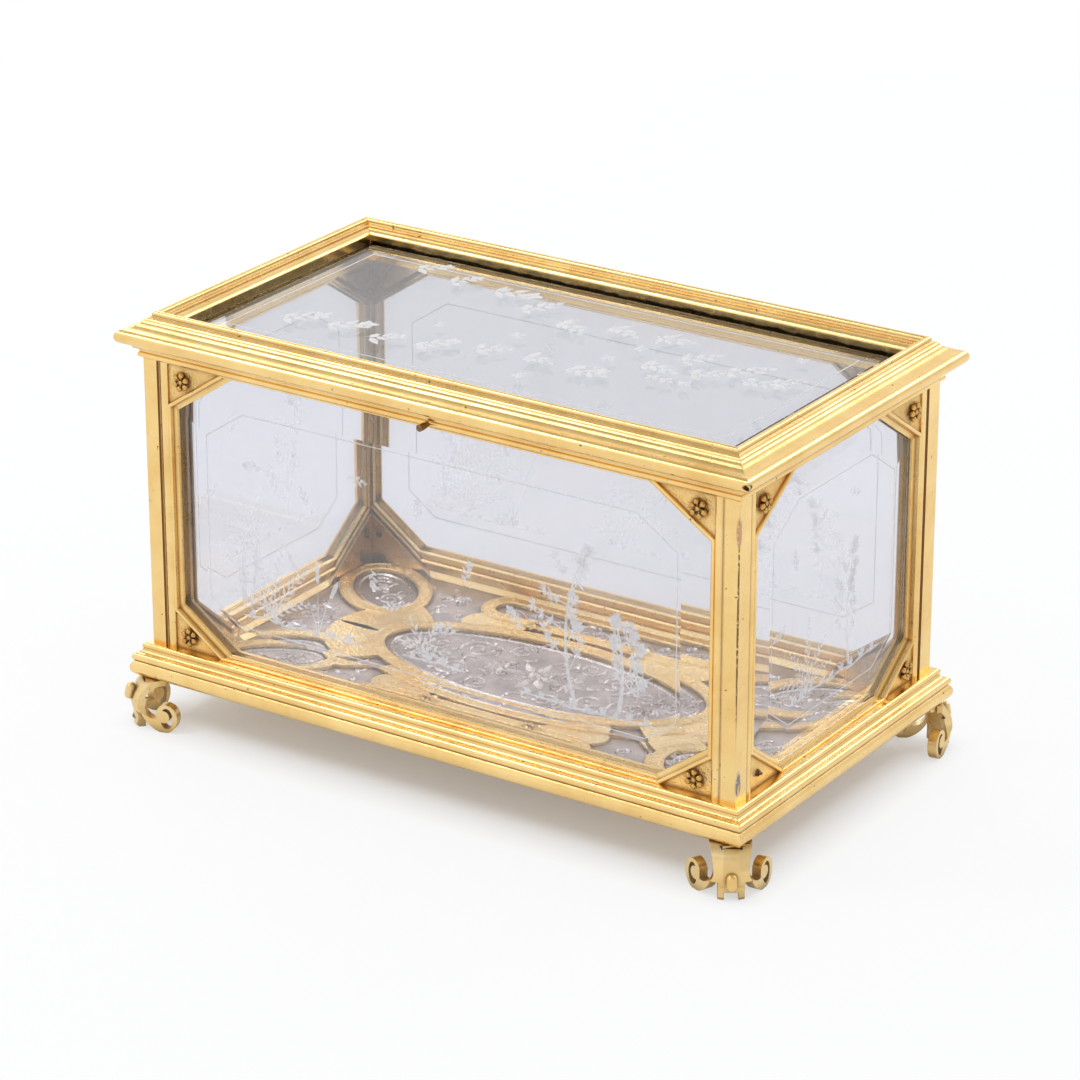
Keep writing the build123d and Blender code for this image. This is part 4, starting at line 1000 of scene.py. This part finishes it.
def main_field(relief):
    """The middle oval: a rosette, with palmettes and scrolls to either side."""
    for i in range(8):
        angle = 2 * math.pi * i / 8
        relief.leaf(polar((0, 0), 2.2, angle), angle, 8.0, 3.0, 0.6)
    relief.bead((0, 0), 2.0, 0.8, sides=12)
    for along in (-1, 1):
        facing = 0 if along > 0 else math.pi
        palmette(relief, (along * 10.5, 0), 7.5, facing)
        palmette(relief, (along * 42, 0), 6.5, facing)
        for across in (-1, 1):
            hand = along * across
            scroll(relief, (along * 24, across * 7.0), 6.4, 1.7, facing - hand * 1.2, hand, 1.0, 0.6)
            scroll(relief, (along * 36, across * 4.6), 4.4, 1.5, facing + hand * 1.2, -hand, 0.9, 0.55)
            scroll(relief, (along * 12, across * 12.5), 4.2, 1.5, across * 0.6, -hand, 0.8, 0.5)


def corner_field(relief, along, across):
    """One corner: two scrolls in its oval, and ornament in the fields beside it."""
    middle, turn = corner_oval(along, across)
    for end in (-1, 1):
        start = turn + (0 if end > 0 else math.pi)
        scroll(relief, polar(middle, 6.2 * end, turn), 4.6, 1.6, start, end * across, 0.8, 0.55)
    relief.bead(middle, 1.2, 0.6)
    relief.stem(ellipse_line(middle, CORNER_OVAL, CORNER_LINE_INSET, turn), 0.9, 0.5, 1.0)
    palmette(relief, (along * 51, across * 33), 6.0, math.pi / 2 * across)
    scroll(relief, (along * 60, across * 20), 3.0, 1.4, 0.5, across, 0.7, 0.5)
    palmette(relief, (along * 83, across * 8), 5.0, 0 if along < 0 else math.pi)


def floor_relief(material):
    """Chased scrolls and palmettes on the silver fields, with small curls between them."""
    relief = Relief()
    main_field(relief)
    relief.stem(ellipse_line((0, 0), MAIN_OVAL, MAIN_LINE_INSET, 0, 120), 0.9, 0.5, 1.0)
    for hand in (-1, 1):
        rinceau(relief, (-34, hand * LONG_SLOT_OUT), (34, hand * LONG_SLOT_OUT), 9, 3.4)
        rinceau(relief, (hand * 66, 0), (hand * 86, 0), 3, 4.2)
        for across in (-1, 1):
            corner_field(relief, hand, across)
    rng = random.Random(21)
    for _ in range(CURLS):
        at = (rng.uniform(-PLAQUE_HALF_X, PLAQUE_HALF_X), rng.uniform(-PLAQUE_HALF_Y, PLAQUE_HALF_Y))
        if not inside_plaque(at, 4.0):
            continue
        size = rng.uniform(1.6, 3.2)
        angle = rng.uniform(0, 6.28)
        curl = rng.choice((-1, 1)) * rng.uniform(1.5, 4.0)
        relief.stem(curve_points(at, angle, size * 2.4, curl, 7), 1.0, 0.6, 0.4)
        relief.leaf(at, rng.uniform(0, 6.28), size, size * 0.4, 0.45)
    relief.piece("floor_relief", level_matrix(PLAQUE_TOP - SUNK), material, "casket", "silvered_metal")


def rounded(outline):
    """An outline with its corners cut twice."""
    for _ in range(2):
        cut = []
        for i, (x0, y0) in enumerate(outline):
            x1, y1 = outline[(i + 1) % len(outline)]
            cut.append((x0 * 0.75 + x1 * 0.25, y0 * 0.75 + y1 * 0.25))
            cut.append((x0 * 0.25 + x1 * 0.75, y0 * 0.25 + y1 * 0.75))
        outline = cut
    return outline


def strap_fillets(relief):
    """Raised fillets along both edges of the straps, broken where they leave the plaque."""
    for inset in (FILLET_INSET, STRAP_WIDTH - FILLET_INSET):
        for line in strap_lines(inset, main_count=120, slot_count=20, corner_count=72):
            run = []
            for point in line + [None]:
                if point and inside_plaque(point):
                    run.append(point)
                    continue
                if len(run) > 2:
                    relief.stem(run, 0.6, 0.32, 1.0)
                run = []


def strap_buds(relief, rng):
    """A chased line of buds along the middle of the straps."""
    for line in strap_lines(STRAP_WIDTH / 2, main_count=150, slot_count=10, corner_count=56):
        for i, (x, y) in enumerate(line[:-1]):
            if not inside_plaque((x, y), 1.5):
                continue
            heading = math.atan2(line[i + 1][1] - y, line[i + 1][0] - x) + (0.6 if i % 2 else -0.6)
            relief.leaf((x, y), heading, 1.7, 0.8, 0.3, bend=rng.uniform(-0.2, 0.2), steps=4)


def straps(material):
    """Chasing on the gilt straps, and the plates that join them."""
    relief = Relief()
    strap_fillets(relief)
    strap_buds(relief, random.Random(3))
    relief.piece("floor_strap_chasing", level_matrix(STRAP_TOP - CHASING_SUNK), material, "casket", "gilt")
    plates = Relief()
    for number, shape in enumerate(JUNCTIONS):
        rise = STRAP_TOP - PLAQUE_TOP - JUNCTION_STEP * (number + 1)
        for along, across in QUARTERS:
            plates.pad(quarter_outline(rounded(shape), along, across), rise)
    plates.piece("floor_strap_junctions", level_matrix(PLAQUE_TOP), material, "casket", "gilt")


def clasps(material):
    """Leaf clasps with three small balls where the middle oval meets the slots."""
    leaves, balls = Relief(), Relief()
    rng = random.Random(8)
    out = PLAQUE_HALF_Y - LONG_SLOT[1] + STRAP_WIDTH / 2
    for along, across in QUARTERS:
        x, y = along * CLASP_ALONG, across * out
        for i in range(7):
            angle = 2 * math.pi * i / 7 + rng.uniform(-0.1, 0.1)
            leaves.leaf((x, y), angle, 4.2, 1.9, 0.8, bend=0.15)
        for i in range(3):
            spot = (x + (i - 1) * 1.25, y + 0.3 * (i % 2), STRAP_TOP + 0.75)
            balls.ball(spot, radius=0.72, squash=0.8, rng=rng)
    matrix = level_matrix(STRAP_TOP - CHASING_SUNK)
    piece = leaves.piece("floor_clasp_leaves", matrix, material, "casket", "gilt")
    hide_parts("floor_clasps")
    balls.piece("floor_clasp_balls", level_matrix(0.0), material, "casket", "gilt", smooth=True)


# Materials on the pieces

gilt = gilt_material("aged_gilt", GOLD, GOLD_DEEP, GOLD_BROWN, tarnish_and_shade=0.9, rough=(0.16, 0.32), spots=WORN)
gilt_lid = gilt_material(
    "lid_gilt", GOLD, GOLD_DEEP, GOLD_BROWN, tarnish_and_shade=0.9, rough=(0.16, 0.32), spots=LID_WORN, mask=lid_well_shade
)
gilt_inner = gilt_material(
    "inner_gilt", GOLD_ROSE, GOLD_WARM, GOLD_BROWN, tarnish_and_shade=0.8, rough=(0.22, 0.42), mask=inner_corner_reflection
)
gilt_stippled = gilt_material(
    "stippled_gilt", GOLD_ROSE, GOLD_WARM, GOLD_BROWN, tarnish_and_shade=0.6, rough=(0.16, 0.34), stipple=0.6
)
# Corner plates: their recess darkening also counts other parts, a painted brown shadow round the rosettes.
gilt_plates = gilt_material(
    "granular_gilt", GOLD, GOLD_DEEP, GOLD_BROWN, tarnish_and_shade=0.8, rough=(0.3, 0.5), stipple=0.9, reach=0.0018,
    alone=False,
)
gilt_dark = gilt_material("brown_gilt", GOLD_DEEP, GOLD_BROWN, BROWN_BLACK, tarnish_and_shade=1.0, rough=(0.3, 0.5))
# Rosettes: near black between the beads, a painted shadow.
gilt_rosette = gilt_material(
    "rosette_gilt", ROSETTE_GOLD, ROSETTE_BROWN, BROWN_BLACK, tarnish_and_shade=0.9, rough=(0.18, 0.34), reach=0.0010
)
# Feet: olive in their recesses and where the base hangs over them, partly tarnish and partly painted shade.
gilt_foot = gilt_material(
    "foot_gilt", FOOT_GOLD, GOLD_DEEP, FOOT_OLIVE, tarnish_and_shade=0.85, rough=(0.22, 0.42), reach=0.0045, alone=False
)
# Dark brown metal for the push stud, the rosette pins and the lost rosette's stub; on the stud the dark
# colour stands partly for tarnish and partly for painted shade and reflection.
dark_brown_metal = gilt_material("stud_dark_brown", DARK_BROWN, GOLD_BROWN, BROWN_BLACK, tarnish_and_shade=1.0, rough=(0.2, 0.4))
silver = silver_material("silvered_plate", SILVER, SILVER_DARK, SILVER_BLACK, roughness=0.30, reach=0.0022)
silver_relief = silver_material(
    "silvered_relief", SILVER_LIGHT, SILVER, SILVER_DARK, roughness=0.18, reach=0.0008
)
wall_crystal = crystal_material("rock_crystal_wall", CRYSTAL_TINT, veil=0.10)
lid_crystal = crystal_material("rock_crystal_lid", LID_TINT, veil=0.05)

# The material of each CAD node by the start of its name; the longest start counts, and all others are gilt
PAINTS = {
    "crystal": wall_crystal,
    "lid_crystal": lid_crystal,
    "floor_plaque": silver,
    "floor_strapwork": gilt_stippled,
    "floor_clasps": gilt_stippled,
    "inner_frame": gilt_inner,
    "lid_retainer": gilt_inner,
    "lid_rail": gilt_lid,
    "corner_plates": gilt_plates,
    "foot": gilt_foot,
    "foot_screws": gilt_dark,
    "push_stud": dark_brown_metal,
    "striker": gilt_dark,
    "catch_spring": gilt_dark,
    "rosette_pins": dark_brown_metal,
    "rosettes": gilt_rosette,
    "hinge": gilt_dark,
}


def paint():
    for name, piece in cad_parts.items():
        starts = [start for start in PAINTS if name.startswith(start)]
        material = PAINTS[max(starts, key=len)] if starts else gilt
        for slot in piece.material_slots:
            slot.material = material


# Floor, light and camera

def studio_floor():
    """A pale floor that keeps the casket's shadow and fades to white further off; a painted white glow
    lightens that shadow, most outside the casket.
    """
    half = FLOOR_SIZE / 2
    corners = [(-half, -half, 0), (half, -half, 0), (half, half, 0), (-half, half, 0)]
    mesh = bpy.data.meshes.new("studio_floor")
    mesh.from_pydata(corners, [], [(0, 1, 2, 3)])
    floor = bpy.data.objects.new("studio_floor", mesh)
    bpy.context.scene.collection.objects.link(floor)
    material, tree, surface = new_material("studio_floor")
    matt = tree.nodes.new("ShaderNodeBsdfDiffuse")
    matt.inputs["Color"].default_value = FLOOR_TINT
    white = tree.nodes.new("ShaderNodeEmission")
    white.inputs["Strength"].default_value = 1.0
    place = tree.nodes.new("ShaderNodeTexCoord")
    away = vector_node(tree, "LENGTH", place.outputs["Object"])
    path = tree.nodes.new("ShaderNodeLightPath")
    seen = math_node(tree, "MAXIMUM", path.outputs["Is Camera Ray"], path.outputs["Is Transmission Ray"])
    faded = times(tree, seen, ramp(tree, away.outputs["Value"], FADE_NEAR, FADE_FAR))
    # Painted light: white glow that lightens the shadow outside the casket, seen directly and in the metal.
    outside = math_node(tree, "MAXIMUM", beyond(tree, "X", *WASH_X), beyond(tree, "Y", *WASH_Y))
    wash = math_node(tree, "ADD", times(tree, outside, OUTER_WASH), UNDER_WASH)
    washed = times(tree, wash, path.outputs["Is Camera Ray"])
    mirrored = times(tree, times(tree, outside, MIRRORED_WASH), path.outputs["Is Glossy Ray"])
    share = math_node(tree, "MAXIMUM", faded, math_node(tree, "MAXIMUM", washed, mirrored))
    wire(tree, mix_shaders(tree, share, matt.outputs["BSDF"], white.outputs["Emission"]), surface)
    mesh.materials.append(material)


def background(tree, strength, colour):
    node = tree.nodes.new("ShaderNodeBackground")
    node.inputs["Strength"].default_value = strength
    feed(tree, colour, node.inputs["Color"])
    return node.outputs["Background"]


def studio_world():
    """White where it is seen; in metal the ceiling and the right side are darker; softer as light."""
    world = bpy.data.worlds.new("studio")
    bpy.context.scene.world = world
    world.use_nodes = True
    tree = world.node_tree
    tree.nodes.clear()
    output = tree.nodes.new("ShaderNodeOutputWorld")
    ceiling = ramp(tree, place_along(tree, "Z", "Generated"), 0.62, 0.90)
    room = blend_colour(tree, ceiling, WHITE, CEILING_GREY)
    right = ramp(tree, place_along(tree, "X", "Generated"), 0.1, 0.9)
    room = blend_colour(tree, right, room, RIGHT_GREY)
    path = tree.nodes.new("ShaderNodeLightPath")
    light = background(tree, ROOM_LIGHT, WHITE)
    unseen = mix_shaders(tree, path.outputs["Is Glossy Ray"], light, background(tree, 1.0, room))
    direct = math_node(tree, "MAXIMUM", path.outputs["Is Camera Ray"], path.outputs["Is Transmission Ray"])
    shown = mix_shaders(tree, direct, unseen, background(tree, 1.0, WHITE))
    wire(tree, shown, output.inputs["Surface"])


def soft_lamp(name, place, size, power):
    """A square soft lamp that looks at the casket."""
    data = bpy.data.lights.new(name, "AREA")
    data.size = size
    data.energy = power
    lamp = bpy.data.objects.new(name, data)
    lamp.location = place
    aim = Vector(TARGET) - Vector(place)
    lamp.rotation_euler = aim.to_track_quat("-Z", "Y").to_euler()
    lamp.visible_camera = False
    bpy.context.scene.collection.objects.link(lamp)


def camera():
    """The camera at the photograph's angle."""
    azimuth = math.radians(AZIMUTH)
    elevation = math.radians(ELEVATION)
    level = math.cos(elevation)
    back = Vector((level * math.sin(azimuth), -level * math.cos(azimuth), math.sin(elevation)))
    data = bpy.data.cameras.new("camera")
    data.lens = LENS
    data.sensor_width = SENSOR
    data.clip_start = 0.01
    eye = bpy.data.objects.new("camera", data)
    eye.location = Vector(TARGET) + back * DISTANCE
    eye.rotation_euler = (-back).to_track_quat("-Z", "Y").to_euler()
    bpy.context.scene.collection.objects.link(eye)
    bpy.context.scene.camera = eye


paint()
engraving()
rosettes(gilt_rosette)
lost_rosette_stub(dark_brown_metal)
foot_necks(gilt_dark)
floor_relief(silver_relief)
straps(gilt_stippled)
clasps(gilt)

studio_floor()
studio_world()
for lamp in LAMPS:
    soft_lamp(*lamp)
camera()
bpy.context.scene.view_settings.view_transform = "Standard"
